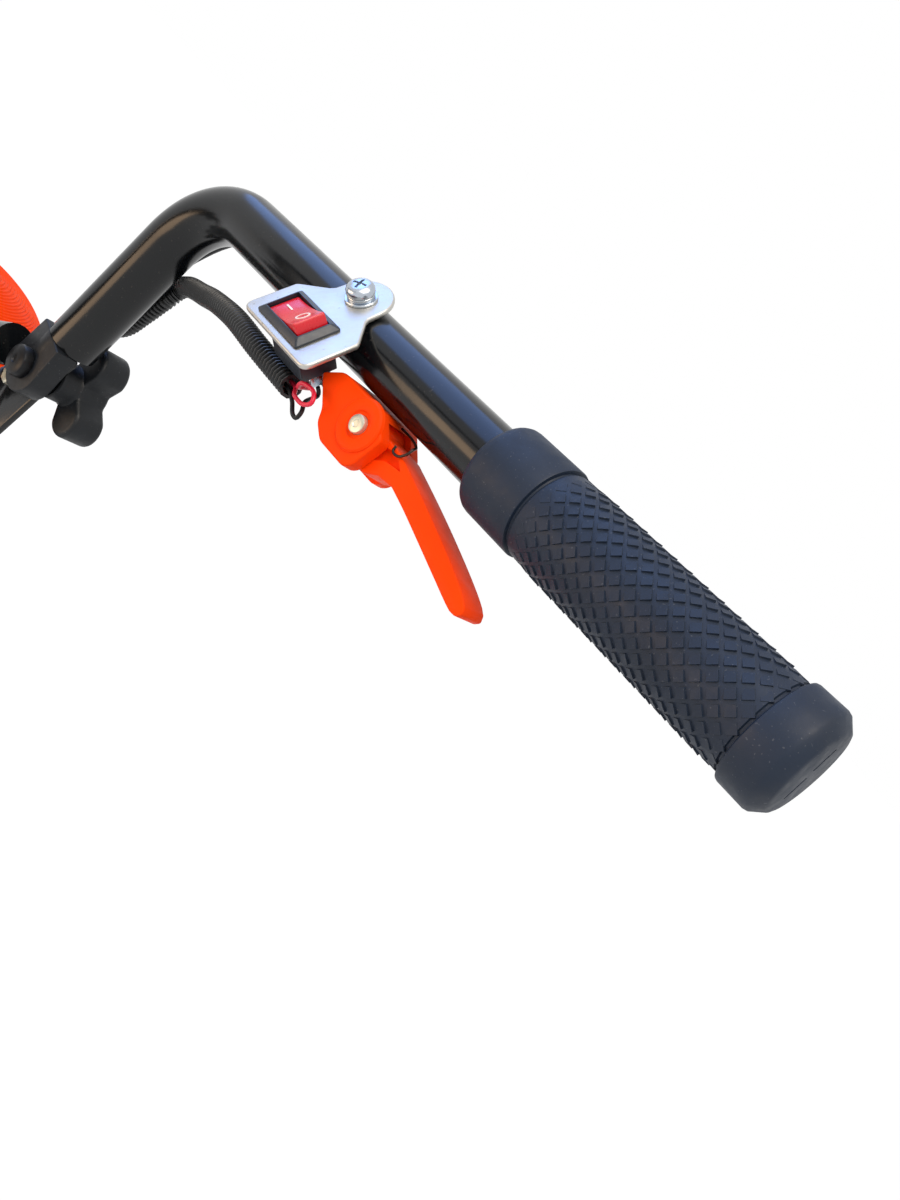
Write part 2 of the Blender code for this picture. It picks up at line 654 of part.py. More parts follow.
def lever_pivot_pin(side):
    end = HOUSING_HALF_WIDTH + 2.0
    profile = [(0, -end), (PIN_DIAMETER / 2 - 0.5, -end), (PIN_DIAMETER / 2, -end + 0.6),
               (PIN_DIAMETER / 2, end - 1.0), (0, end - 1.0)]
    matrix = side.side_frame() @ Matrix.Translation((LEVER_PIVOT_RUN, LEVER_PIVOT_DROP, 0))
    solid("lever_pivot_pin", placed(lathe(profile, 16), matrix), "bright_steel", side.pivot)


def lever_return_spring(side):
    """Wire leg of the return spring: hooked on the lever's inner face, led under the tube to the fork."""
    out = -LEVER_HALF_WIDTH - GAP - SPRING_WIRE / 2
    under = TUBE_RADIUS + GAP + SPRING_WIRE
    points = [(161.6, 16.6, out), (162.2, 18.6, out), (165.0, 18.4, out), (167.0, 16.2, out),
              (167.2, 13.8, out + 0.7), (165.5, under + 0.6, out + 3.2), (160.0, under, out + 5.2),
              (153.6, under + 0.1, out + 6.2)]
    route = smooth_route([side.on_run(*p) for p in points], 2.2)
    solid("lever_return_spring", sweep(route, SPRING_WIRE / 2, 8), "spring_steel", side.pivot)


def cable_adjuster(side):
    profile = [(2.0, -12.0), (3.4, -12.0), (3.4, -7.0), (5.0, -7.0), (5.0, -1.5), (3.8, -1.5), (3.8, 0),
               (2.0, 0)]
    bm = lathe([(CABLE_DIAMETER / 2 + GAP, h) if r == 2.0 else (r, h) for r, h in profile], 14, True)
    matrix = axes(side.on_run(130.9, CABLE_DROP, 0), side.drop, side.out, side.run)
    solid("cable_adjuster", placed(bm, matrix), "bright_steel", side.pivot)


def wire_conduit(side):
    """Corrugated split loom with a bore, ribs all along it, from the switch to the fan housing."""
    points = [side.on_run(113, 28.3, -10), side.on_run(98, 28.5, -8.5), side.on_run(82, 28.5, -7),
              side.on_run(60, 28.5, -3.5), side.on_run(40, 30.5, 1), side.on_run(23, 33.5, 6.5),
              side.on_front(72, -2.5, 16.6), side.on_front(60, 1.5, 16.8), side.on_front(48, 4.5, 17),
              side.on_front(34, 10, 17.6),
              side.on_front(18, 27, 17.6), side.on_front(4, 34, 17), side.at(13, 36, -16)]
    points += [Vector((48, -198, 555)), Vector((46.5, -188, 535)), Vector((45.5, -150, 450)),
               Vector((46, -114, 374)), Vector((46, -62, 346)), Vector((44, -18, 352)),
               Vector((44, -10, 372)), Vector((44, -10, FAN_BOTTOM - GAP))]
    route = smooth_route(points, CONDUIT_PITCH / 2)
    crest = CONDUIT_DIAMETER / 2
    radii = [crest if i % 2 else crest - 0.55 for i in range(len(route))]
    solid("wire_conduit", sweep(route, radii, 8, CONDUIT_BORE / 2, 5), "black_plastic", None, 60.0)


def loop_wire(name, side, points, finish):
    route = smooth_route([side.on_run(*p) for p in points], 3.0)
    solid(name, sweep(route, WIRE_DIAMETER / 2, 8), finish, side.pivot)


def wires(side):
    """Two switch leads: each leaves the conduit, hangs in a loop and returns to its terminal."""
    loop_wire("wire_black", side, [(105, 29.3, -9.8), (113, 29.3, -10.6), (119, 31, -11.5),
                                   (124, 33.4, -12.6), (127.3, 33.4, -13.2), (127.3, 30.8, -13),
                                   (123, 28.3, -10.5), (119.2, 26.6, -5.5), (117.8, 25.3, -3),
                                   (117.5, 23.9, -3.4), (117.5, 22.6, -5.2)], "black_plastic")
    loop_wire("wire_red", side, [(105, 27.6, -8.6), (113, 27.4, -9.3), (117, 27.7, -11.5),
                                 (122, 28.5, -14.8), (128.5, 28.2, -16.2), (131.5, 25.8, -16.2),
                                 (128.5, 22.8, -15.8), (122.5, 23.6, -16.0), (119.5, 26.0, -13.8),
                                 (117, 25.6, -9.5), (114.5, 25, -5), (110, 24.6, -2.4), (106, 24.8, -2),
                                 (104.6, 23.9, -3.2), (104.5, 22.6, -5.2)], "wire_red_skin")


def throttle_cable(side):
    """Sheathed cable on the outer side of the tube, then down the leg to the carburettor."""
    points = [side.on_run(131.8, CABLE_DROP, 0), side.on_run(118.5, CABLE_DROP, 0),
              side.on_run(106, 20, 4.5), side.on_run(94, 15.5, 12.5), side.on_run(82, 8, 16),
              side.on_run(60, 3.5, 15.5), side.on_run(36, 3.5, 15.5), side.on_run(6.6, 8.2, 16),
              side.on_front(82, 5, 15.2), side.on_front(62, 8, 15.2), side.on_front(46, 12, 17),
              side.on_front(34, 21, 19.5), side.on_front(22, 33, 24), side.on_front(4, 40, 23),
              side.at(21, 39, -16)]
    points += [Vector((57, -197, 555)), Vector((56, -186, 535)), Vector((54.5, -148, 450)),
               Vector((54, -114, 374)), Vector((53, -68, 342)), Vector((45, -42, 334)),
               Vector((34, -37, 336)), Vector((26, -37, 336)), Vector((19 + GAP, -37, 336))]
    solid("throttle_cable", sweep(smooth_route(points, 14.0), CABLE_DIAMETER / 2, 8), "black_plastic")


def tine(name, x, mirror):
    """Star of hooked blades whose tips lean left and right in turn, on a hub."""
    outline = []
    for blade in range(TINE_BLADES):
        middle = 60.0 + blade * 360.0 / TINE_BLADES
        for offset, radius in ((-25, 31), (-14, 52), (-9, 74), (-TIP_HALF_DEGREES, 110),
                               (TIP_HALF_DEGREES, 110), (4, 78), (18, 34)):
            turn = radians(mirror * (middle + offset))
            scale = TINE_RADIUS / 110.0
            outline.append((radius * scale * cos(turn), radius * scale * sin(turn)))
    half = TINE_THICKNESS / 2
    body = prism(outline, -half, half)
    bmesh.ops.triangulate(body, faces=body.faces)
    for vert in body.verts:
        reach = hypot(vert.co.x, vert.co.y) / TINE_RADIUS
        if reach > 0.6:
            blade = round(degrees(atan2(vert.co.y, vert.co.x)) / 60.0)
            lean = 16.0 if blade % 2 else -16.0
            vert.co.z += lean * (reach - 0.6) / 0.4
    hub = cylinder(16.0, -14.0, 14.0, 10)
    bore = cylinder(SHAFT_RADIUS + GAP + 0.3, -40.0, 40.0, 10)
    body = combined(body, ("UNION", hub), ("DIFFERENCE", bore))
    solid(name, placed(body, along_x(x, 0, AXLE_Z)), "tine_steel", (0, 0, AXLE_Z))


def tine_shaft():
    end = TINE_OUTER_X + 20.0
    profile = [(0, -end), (SHAFT_RADIUS - 1, -end), (SHAFT_RADIUS, -end + 1), (SHAFT_RADIUS, end - 1),
               (SHAFT_RADIUS - 1, end), (0, end)]
    solid("tine_shaft", placed(lathe(profile, 12), along_x(0, 0, AXLE_Z)), "bright_steel", (0, 0, AXLE_Z))


def worm_wheel():
    """Bronze wheel with teeth set at the worm's lead angle."""
    pitch = 2 * pi * WHEEL_PITCH_RADIUS / WHEEL_TEETH
    lead = atan2(pitch, 2 * pi * WORM_PITCH_RADIUS)
    root = WHEEL_PITCH_RADIUS - TOOTH_DEPTH / 2 - 0.3
    tip = WHEEL_PITCH_RADIUS + TOOTH_DEPTH / 2 - 0.3
    step = 360.0 / WHEEL_TEETH
    outline = []
    for tooth in range(WHEEL_TEETH):
        middle = 90.0 + (tooth + 0.5) * step
        for offset, radius in ((-0.28, root), (-0.10, tip), (0.10, tip), (0.28, root)):
            turn = radians(middle + offset * step)
            outline.append((radius * cos(turn), radius * sin(turn)))
    half = 6.0
    bore = circle(0, 0, SHAFT_RADIUS + GAP, 12)
    body = prism(outline, -half, half, [bore])
    for vert in body.verts:
        if hypot(vert.co.x, vert.co.y) > root - 0.1:
            twist = vert.co.z * tan(lead) / WHEEL_PITCH_RADIUS
            vert.co = Matrix.Rotation(twist, 3, "Z") @ vert.co
    bmesh.ops.triangulate(body, faces=body.faces)
    solid("worm_wheel", placed(body, along_x(0, 0, AXLE_Z)), "bronze", (0, 0, AXLE_Z))


def drive_shaft():
    """Vertical shaft whose lower part is the single-start worm."""
    pitch = 2 * pi * WHEEL_PITCH_RADIUS / WHEEL_TEETH
    count = 12
    worm_half = 1.5 * pitch
    steps = 6
    rows = []
    z = -worm_half
    while z < worm_half + 0.01:
        rows.append(z)
        z += pitch / steps
    root = WORM_PITCH_RADIUS - TOOTH_DEPTH / 2 - 0.3
    crest = WORM_PITCH_RADIUS + TOOTH_DEPTH / 2 - 0.3
    bm = bmesh.new()
    levels = [[bm.verts.new((0, 0, AXLE_Z - worm_half - 10.0))]]

    def ring(radius, height):
        turn = [2 * pi * i / count for i in range(count)]
        sizes = [radius(t, height) if callable(radius) else radius for t in turn]
        levels.append([bm.verts.new((r * cos(t), r * sin(t), height + AXLE_Z)) for r, t in zip(sizes, turn)])

    def thread(turn, height):
        phase = (height / pitch - turn / (2 * pi) + 1.25) % 1.0
        off = abs(phase - 0.5)
        fade = min(1.0, (worm_half - abs(height)) / pitch)
        return root + (crest - root) * fade * min(1.0, max(0.0, (0.27 - off) / 0.16))

    ring(root - 1.0, -worm_half - 10.0)
    ring(root - 1.0, -worm_half - 1.0)
    for row in rows:
        ring(thread, row)
    ring(8.0, worm_half + 2.0)
    ring(8.0, GEAR_TOP - AXLE_Z + 10.0)
    ring(6.0, GEAR_TOP - AXLE_Z + 10.5)
    ring(6.0, GEAR_TOP - AXLE_Z + 24.0)
    levels.append([bm.verts.new((0, 0, GEAR_TOP + 24.0))])
    for low, high in zip(levels, levels[1:]):
        for i in range(count):
            j = (i + 1) % count
            quad = [low[i % len(low)], low[j % len(low)], high[j % len(high)], high[i % len(high)]]
            corners = list(dict.fromkeys(quad))
            if len(corners) > 2:
                bm.faces.new(corners)
    solid("drive_shaft", placed(bm, upright(0, ENGINE_Y, 0)), "bright_steel", (0, ENGINE_Y, AXLE_Z))


def gear_case(sign):
    """Half of the cast gear case, split on the plane x = 0."""
    wheel = 38.0
    column = 19.0
    meet = degrees(asin(sqrt(wheel ** 2 - (ENGINE_Y - column) ** 2) / wheel))
    foot = AXLE_Z - 33.0
    low_meet = -degrees(asin(33.0 / wheel))
    outline = [(ENGINE_Y - column, GEAR_TOP)] + arc(0, AXLE_Z, wheel, meet, 360 + low_meet, 10)
    outline += [(ENGINE_Y + column - 8, foot), (ENGINE_Y + column, foot + 8), (ENGINE_Y + column, GEAR_TOP)]
    matrix = along_x()
    body = softened(prism(outline, GAP / 2, CASE_HALF_WIDTH), 3.0,
                    keep=lambda e: min(v.co.z for v in e.verts) > CASE_HALF_WIDTH - 0.5)
    body = placed(body, matrix)
    half_space = block((GAP / 2, -200, 0), (200, 200, 400))
    flange = placed(cylinder(42.0, GEAR_TOP - 9.0, GEAR_TOP, 16), upright(0, ENGINE_Y, 0))
    flange = combined(flange, ("INTERSECT", half_space))
    boss = placed(cylinder(19.0, CASE_HALF_WIDTH - 4.0, CASE_HALF_WIDTH + 11.0, 16, 1.5),
                  along_x(0, 0, AXLE_Z))
    cavity = placed(cylinder(30.0, -9.0, 9.0, 16), along_x(0, 0, AXLE_Z))
    well = placed(lathe([(0, foot + 5.0), (6.6, foot + 5.0), (6.6, foot + 14.0), (13.5, foot + 14.0),
                         (13.5, GEAR_TOP - 17.0), (8.6, GEAR_TOP - 17.0), (8.6, GEAR_TOP + 5.0),
                         (0, GEAR_TOP + 5.0)], 12), upright(0, ENGINE_Y, 0))
    bore = placed(cylinder(SHAFT_RADIUS + 2 * GAP, -5.0, 60.0, 12), along_x(0, 0, AXLE_Z))
    body = combined(body, ("UNION", flange), ("UNION", boss), ("DIFFERENCE", cavity),
                    ("DIFFERENCE", well), ("DIFFERENCE", bore))
    if sign < 0:
        placed(body, Matrix.Scale(-1, 4, (1, 0, 0)))
    solid("gear_case_right" if sign > 0 else "gear_case_left", body, "cast_aluminium")


def tine_guard():
    """Folded sheet over the tines, flat where the gear case and clutch housing clamp it."""
    t = GUARD_THICKNESS
    z = GEAR_TOP
    upper = [(-130.0, z - 57.0), (-112.0, z - 30.0), (-72.0, z), (98.0, z), (128.0, z - 22.0),
             (140.0, z - 44.0)]
    lower = [(y, height + t) for y, height in upper]
    outline = upper + lower[::-1]
    body = placed(prism(outline, -152.0, 152.0), along_x())
    hole = placed(cylinder(20.0, z - 20, z + 20, 20), upright(0, ENGINE_Y, 0))
    body = combined(body, ("DIFFERENCE", hole))
    solid("tine_guard", body, "gloss_black")


def clutch_housing():
    low = GEAR_TOP + GUARD_THICKNESS
    profile = [(20.0, low), (42.0, low), (46.0, low + 8), (46.0, CLUTCH_TOP - 7), (54.0, CLUTCH_TOP - 6),
               (54.0, CLUTCH_TOP), (41.5, CLUTCH_TOP), (41.5, low + 5), (20.0, low + 5)]
    solid("clutch_housing", placed(lathe(profile, 16, True), upright(0, ENGINE_Y, 0)), "cast_aluminium")


def clutch_drum():
    low = GEAR_TOP + 12.0
    bore = 6.0 + GAP
    profile = [(bore, low), (36.0, low), (38.0, low + 2), (38.0, low + 30), (35.5, low + 30),
               (35.5, low + 4), (11.0, low + 4), (11.0, low + 9), (bore, low + 9)]
    solid("clutch_drum", placed(lathe(profile, 14, True), upright(0, ENGINE_Y, 0)), "bright_steel",
          (0, ENGINE_Y, low))


def engine_plate():
    """Flat plate that carries the engine, the two legs and the sleeve of the drag stake."""
    outline = rounded(-62.0, STAKE_Y - 16.0, 62.0, ENGINE_Y + 62.0, 14.0)
    holes = [circle(0, ENGINE_Y, 30.0, 24)]
    body = prism(outline, CLUTCH_TOP, PLATE_TOP, holes)
    sleeve = block((-17.0, STAKE_Y - 8.0, CLUTCH_TOP - 40.0), (17.0, STAKE_Y + 8.0, PLATE_TOP + 12.0))
    slot = block((-12.5 - GAP, STAKE_Y - 4.0 - GAP, CLUTCH_TOP - 60.0),
                 (12.5 + GAP, STAKE_Y + 4.0 + GAP, PLATE_TOP + 40.0))
    wing = block((-132.0, ENGINE_Y - 46.0, CLUTCH_TOP), (-58.0, ENGINE_Y + 30.0, PLATE_TOP))
    body = combined(body, ("UNION", sleeve), ("DIFFERENCE", slot), ("UNION", wing))
    solid("engine_plate", body, "gloss_black")


def drag_stake():
    outline = [(-12.5, 30.0), (-5.0, 0.0), (5.0, 0.0), (12.5, 30.0), (12.5, PLATE_TOP + 44.0),
               (9.5, PLATE_TOP + 47.0), (-9.5, PLATE_TOP + 47.0), (-12.5, PLATE_TOP + 44.0)]
    holes = [circle(0, 180.0 + 30.0 * i, 3.5, 8) for i in range(5)]
    matrix = axes((0, STAKE_Y + 4.0, 0), (1, 0, 0), (0, 0, 1), (0, -1, 0))
    solid("drag_stake", placed(prism(outline, 0, 8.0, holes), matrix), "tine_steel", (0, STAKE_Y, 0))


def crankcase():
    low = PLATE_TOP
    high = low + CRANKCASE_HEIGHT
    profile = [(9.5, low), (48.0, low), (48.0, low + 8), (43.0, low + 12), (43.0, high - 12),
               (48.0, high - 8), (48.0, high), (9.5, high), (9.5, high - 16), (35.0, high - 18),
               (35.0, low + 18), (9.5, low + 16)]
    body = placed(lathe(profile, 16, True), upright(0, ENGINE_Y, 0))
    pad = softened(block((-31, ENGINE_Y + 36, CYLINDER_Z - 31), (31, ENGINE_Y + 50, CYLINDER_Z + 31)), 2.0)
    rear = softened(block((-22, ENGINE_Y - 52, CYLINDER_Z - 18), (22, ENGINE_Y - 38, CYLINDER_Z + 18)), 2.0)
    throat = placed(cylinder(21.0, 20.0, 60.0, 16), along_y(0, ENGINE_Y, CYLINDER_Z))
    intake = placed(cylinder(9.0, -60.0, -30.0, 12), along_y(0, ENGINE_Y, CYLINDER_Z))
    body = combined(body, ("UNION", pad), ("UNION", rear), ("DIFFERENCE", throat), ("DIFFERENCE", intake))
    solid("crankcase", body, "cast_aluminium")


def crankshaft():
    """Crank axis with its webs and the clutch hub at the lower end."""
    clutch = GEAR_TOP + 24.6
    top = FAN_BOTTOM + 48.0
    web = CYLINDER_Z
    profile = [(0, clutch), (31.0, clutch), (33.0, clutch + 2), (33.0, clutch + 14), (12.0, clutch + 16),
               (9.0, clutch + 18), (9.0, web - 18), (30.0, web - 18), (30.0, web - 8), (7.0, web - 8),
               (7.0, web + 8), (30.0, web + 8), (30.0, web + 18), (9.0, web + 18), (9.0, FAN_BOTTOM + 6),
               (7.0, FAN_BOTTOM + 10), (7.0, top), (0, top)]
    solid("crankshaft", placed(lathe(profile, 12), upright(0, ENGINE_Y, 0)), "bright_steel",
          (0, ENGINE_Y, web))


def flywheel():
    low = FAN_BOTTOM + 11.0
    blades = 8
    outline = []
    for blade in range(blades):
        middle = blade * 360.0 / blades
        for offset, radius in ((-14.0, 40.0), (-5.0, 40.0), (1.0, 64.0), (4.0, 64.0), (1.0, 40.0)):
            turn = radians(middle + offset)
            outline.append((radius * cos(turn), radius * sin(turn)))
    vanes = prism(outline, low + 4.0, low + 22.0, [circle(0, 0, 20.0, 12)])
    bore = 7.0 + GAP
    disc = lathe([(bore, low), (62.0, low), (66.0, low + 2.5), (66.0, low + 5.0), (bore, low + 5.0)], 24, True)
    body = combined(disc, ("UNION", vanes))
    solid("flywheel", placed(body, upright(0, ENGINE_Y, 0)), "cast_aluminium", (0, ENGINE_Y, low))


def cylinder_barrel():
    """Finned barrel with a blind bore; local height runs forward from the crankcase pad."""
    fins = 5
    profile = [(0, 60.0), (20.0, 60.0), (20.0, 0.0), (30.0, 0.0), (30.0, 4.0), (27.0, 5.0)]
    for fin in range(fins):
        start = 9.0 + fin * 12.0
        profile += [(27.0, start), (41.0, start + 0.6), (41.0, start + 3.0), (27.0, start + 3.8)]
    profile += [(27.0, 70.0), (22.0, 74.0), (8.0, 76.0), (0, 76.0)]
    body = lathe(profile, 12)
    solid("cylinder", placed(body, along_y(0, ENGINE_Y + 50.0 + GAP, CYLINDER_Z)), "cast_aluminium")


def spark_plug():
    profile = [(0, 0), (6.0, 0), (6.0, 3), (9.0, 3), (9.0, 11), (5.5, 12), (5.0, 26), (3.0, 27), (3.0, 33),
               (0, 33)]
    matrix = along_y(0, ENGINE_Y + 50.0 + GAP + 76.0, CYLINDER_Z)
    solid("spark_plug", placed(lathe(profile, 10), matrix), "bright_steel")


def cylinder_cover():
    """Orange shroud over the barrel, open below and behind."""
    z0, z1 = CYLINDER_Z - 36.0, FAN_BOTTOM - GAP
    front, back = ENGINE_Y + 150.0, ENGINE_Y + 52.0
    outer = arc(30.0, z1 - 22.0, 22.0, 0, 90, 4) + arc(-30.0, z1 - 22.0, 22.0, 90, 180, 4)
    outer = [(52.0, z0)] + outer + [(-52.0, z0)]
    inner = [(x * (52.0 - SHELL) / 52.0, z - SHELL if z > z0 + 1 else z - 20.0) for x, z in outer]
    turned = axes((0, 0, 0), (-1, 0, 0), (0, 0, 1), (0, 1, 0))
    hull = softened(placed(prism(outer, back, front), turned), 3.0,
                    keep=lambda e: (min(v.co.y for v in e.verts) > front - 0.1
                                    and max(v.co.z for v in e.verts) > z0 + 1))
    hollow = placed(prism(inner, back - 5.0, front - SHELL), turned)
    plug = placed(cylinder(15.0, front - 20.0, front + 20.0, 16), along_y(0, 0, CYLINDER_Z))
    notch = block((40.0, ENGINE_Y + 70.0, z0 - 5.0), (60.0, ENGINE_Y + 94.0, CYLINDER_Z + 6.0))
    body = combined(hull, ("DIFFERENCE", hollow), ("DIFFERENCE", plug), ("DIFFERENCE", notch))
    solid("cylinder_cover", body, "orange_plastic")


def fan_housing():
    r = FAN_RADIUS
    low, high = FAN_BOTTOM, FAN_TOP
    profile = [(16.0, low), (r - 12.0, low), (r, low + 10.0), (r, high), (r - SHELL, high),
               (r - SHELL, low + 11.0), (r - 13.0, low + SHELL), (16.0, low + SHELL)]
    solid("fan_housing", placed(lathe(profile, 20, True), upright(0, ENGINE_Y, 0)), "orange_plastic")


def recoil_cover():
    """Dome over the starter, with the hole where the rope leaves."""
    shape = 2.4

    def skin(radius, rise, steps):
        turns = [pi / 2 * i / steps for i in range(steps + 1)]
        return [(radius * cos(t) ** (2 / shape), FAN_TOP + rise * sin(t) ** (2 / shape)) for t in turns]

    outer = skin(FAN_RADIUS, DOME_HEIGHT, 7)
    inner = skin(FAN_RADIUS - SHELL, DOME_HEIGHT - SHELL, 6)
    outer[-1] = (0, FAN_TOP + DOME_HEIGHT)
    inner[-1] = (0, FAN_TOP + DOME_HEIGHT - SHELL)
    body = placed(lathe(outer[::-1] + inner, 20), upright(0, ENGINE_Y, 0))
    rope = placed(cylinder(2.6, FAN_RADIUS / 2, FAN_RADIUS * 1.5, 10), starter_frame())
    post = placed(cylinder(POST_RADIUS, FAN_TOP + 2.0, FAN_TOP + DOME_HEIGHT - SHELL / 2, 12),
                  upright(0, ENGINE_Y, 0))
    body = combined(body, ("DIFFERENCE", rope), ("UNION", post))
    solid("recoil_cover", body, "orange_plastic")


def starter_frame():
    """Local Z points out of the cover on the left, where the rope leaves the pulley."""
    return axes((0, ENGINE_Y - STARTER_OFFSET, FAN_TOP + STARTER_RISE), (0, 1, 0), (0, 0, -1), (-1, 0, 0))


def starter_pulley():
    low = FAN_TOP + 6.0
    bore = POST_RADIUS + 0.4
    profile = [(bore, low), (36.0, low), (36.0, low + 3), (PULLEY_GROOVE, low + 5),
               (PULLEY_GROOVE, low + 11), (36.0, low + 13), (36.0, low + 16), (10.0, low + 16),
               (10.0, low + 22), (bore, low + 22)]
    solid("starter_pulley", placed(lathe(profile, 14, True), upright(0, ENGINE_Y, 0)), "black_plastic",
          (0, ENGINE_Y, low))


def starter_handle():
    """T-shaped pull with the visible end of its rope."""
    reach = sqrt(FAN_RADIUS ** 2 - STARTER_OFFSET ** 2) + STARTER_STANDOFF
    rope = cylinder(1.8, reach - 30.3, reach + 6.0, 8)
    outline = rounded(-6.5, -19.0, 6.5, 19.0, 6.0, 3)
    pull = softened(prism(outline, reach, reach + 13.0), 2.5)
    neck = lathe([(0, reach - 6), (4.5, reach - 6), (6.0, reach + 1), (0, reach + 1)], 10)
    body = combined(pull, ("UNION", neck), ("UNION", rope))
    solid("starter_handle", placed(body, starter_frame()), "black_plastic",
          starter_frame() @ Vector((0, 0, reach)))


def fuel_tank():
    """Moulded tank on the left of the crankcase, hollow, with a filler neck."""
    x0, x1 = -136.0, -56.0
    y0, y1 = ENGINE_Y - 58.0, ENGINE_Y + 42.0
    z0, z1 = PLATE_TOP + 8.0, PLATE_TOP + 88.0
    body = softened(prism(rounded(x0, y0, x1, y1, 16.0, 3), z0, z1), 7.0)
    neck_x, neck_y = -100.0, ENGINE_Y - 22.0
    neck = placed(cylinder(15.0, z1 - 5.0, z1 + 9.0, 16), upright(neck_x, neck_y, 0))
    hollow = softened(prism(rounded(x0 + 3, y0 + 3, x1 - 3, y1 - 3, 13.0, 3), z0 + 3, z1 - 3), 6.0)
    mouth = placed(cylinder(11.5, z1 - 10.0, z1 + 20.0, 12), upright(neck_x, neck_y, 0))
    feet = [block((x, y0 + 16.0, PLATE_TOP + GAP), (x + 12.0, y1 - 16.0, z0 + 1.5))
            for x in (x0 + 14.0, x1 - 26.0)]
    body = combined(body, ("UNION", neck), ("DIFFERENCE", hollow), ("DIFFERENCE", mouth),
                    *[("UNION", foot) for foot in feet])
    solid("fuel_tank", body, "fuel_plastic")
    top = z1 + 9.0
    profile = [(0, top + 10), (14.0, top + 10), (18.0, top + 8), (19.0, top - 6), (15.0 + 2 * GAP, top - 6),
               (15.0 + 2 * GAP, top + GAP), (0, top + GAP)]
    solid("fuel_cap", placed(lathe(profile, 16), upright(neck_x, neck_y, 0)), "black_plastic",
          (neck_x, neck_y, top))


def carburettor():
    rear = ENGINE_Y - 52.0
    body = softened(block((-19, rear - 30, CYLINDER_Z - 19), (19, rear - 8, CYLINDER_Z + 19)), 3.0)
    flange = block((-20, rear - 10, CYLINDER_Z - 14), (20, rear, CYLINDER_Z + 14))
    bowl = placed(cylinder(10.5, CYLINDER_Z - 30, CYLINDER_Z - 17, 14), upright(0, rear - 19.0, 0))
    throat = placed(cylinder(8.0, -60.0, 20.0, 12), along_y(0, rear, CYLINDER_Z))
    body = combined(body, ("UNION", flange), ("UNION", bowl), ("DIFFERENCE", throat))
    solid("carburettor", body, "cast_aluminium")


def air_filter_cover():
    rear = ENGINE_Y - 52.0 - 30.0 - GAP
    hull = softened(block((-34, rear - 30, CYLINDER_Z - 32), (34, rear, CYLINDER_Z + 36)), 5.0)
    hollow = softened(block((-31, rear - 27, CYLINDER_Z - 29), (31, rear - 3, CYLINDER_Z + 33)), 4.0)
    mouth = placed(cylinder(8.0, -10.0, 10.0, 12), along_y(0, rear, CYLINDER_Z))
    vents = [block((-20, rear - 40, CYLINDER_Z - 20 + 9 * i), (20, rear - 20, CYLINDER_Z - 17 + 9 * i))
             for i in range(4)]
    body = combined(hull, ("DIFFERENCE", hollow), ("DIFFERENCE", mouth),
                    *[("DIFFERENCE", vent) for vent in vents])
    solid("air_filter_cover", body, "black_plastic")


def muffler():
    """Silencer can on the right of the barrel with its outlet."""
    z = CYLINDER_Z
    x0 = 41.0 + GAP
    y0 = ENGINE_Y + 56.0
    body = softened(block((55.0, y0 - 8, z - 34), (92.0, y0 + 62, z + 18)), 6.0)
    pipe = placed(cylinder(10.0, x0, 60.0, 12), along_x(0, y0 + 26.0, z - 8))
    outlet = placed(cylinder(5.0, 85.0, 104.0, 10), along_x(0, y0 + 44.0, z - 18))
    hollow = softened(block((58.0, y0 - 5, z - 31), (89.0, y0 + 59, z + 15)), 4.0)
    bore = placed(cylinder(3.5, 85.0, 110.0, 10), along_x(0, y0 + 44.0, z - 18))
    body = combined(body, ("UNION", pipe), ("UNION", outlet), ("DIFFERENCE", hollow), ("DIFFERENCE", bore))
    solid("muffler", body, "spring_steel")


right = Side(1)
left = Side(-1)
for hand in (right, left):
    handle_tube(hand)
    grip(hand)
    handle_lug(hand)
    joint_plate(hand)
    pivot_bolt(hand)
    star_knob(hand)
    plate_bolt(hand)
    leg_tube(hand)
switch_bracket(right)
switch_body(right)
switch_rocker(right)
bracket_fixings(right)
throttle_housing(right)
throttle_lever(right)
lever_pivot_pin(right)
lever_return_spring(right)
cable_adjuster(right)
throttle_cable(right)
wire_conduit(right)
wires(right)
tine("tine_outer_left", -TINE_OUTER_X, -1)
tine("tine_inner_left", -TINE_INNER_X, -1)
tine("tine_inner_right", TINE_INNER_X, -1)
tine("tine_outer_right", TINE_OUTER_X, -1)
tine_shaft()
worm_wheel()
drive_shaft()
gear_case(1)
gear_case(-1)
tine_guard()
clutch_housing()
clutch_drum()
engine_plate()
drag_stake()
crankcase()
crankshaft()
flywheel()
cylinder_barrel()
spark_plug()
cylinder_cover()
fan_housing()
recoil_cover()
starter_pulley()
starter_handle()
fuel_tank()
carburettor()
air_filter_cover()
muffler()

bpy.context.view_layer.update()
corners = [obj.matrix_world @ vert.co for obj in bpy.data.objects for vert in obj.data.vertices]
middle = (min(c.y for c in corners) + max(c.y for c in corners)) / 2
for piece in bpy.data.objects:
    piece.location.y -= middle
print(f"origin set {middle / METRES:.4f} mm from the tine axle")
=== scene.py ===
# Mini tiller: the looks of each piece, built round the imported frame.
# Lengths in the dictionaries are millimetres and angles are degrees. The lamps' and the
# camera's places are metres.
from math import asin, copysign, cos, degrees, pi, radians, sin, sqrt, tan

import bpy
from mathutils import Matrix, Vector


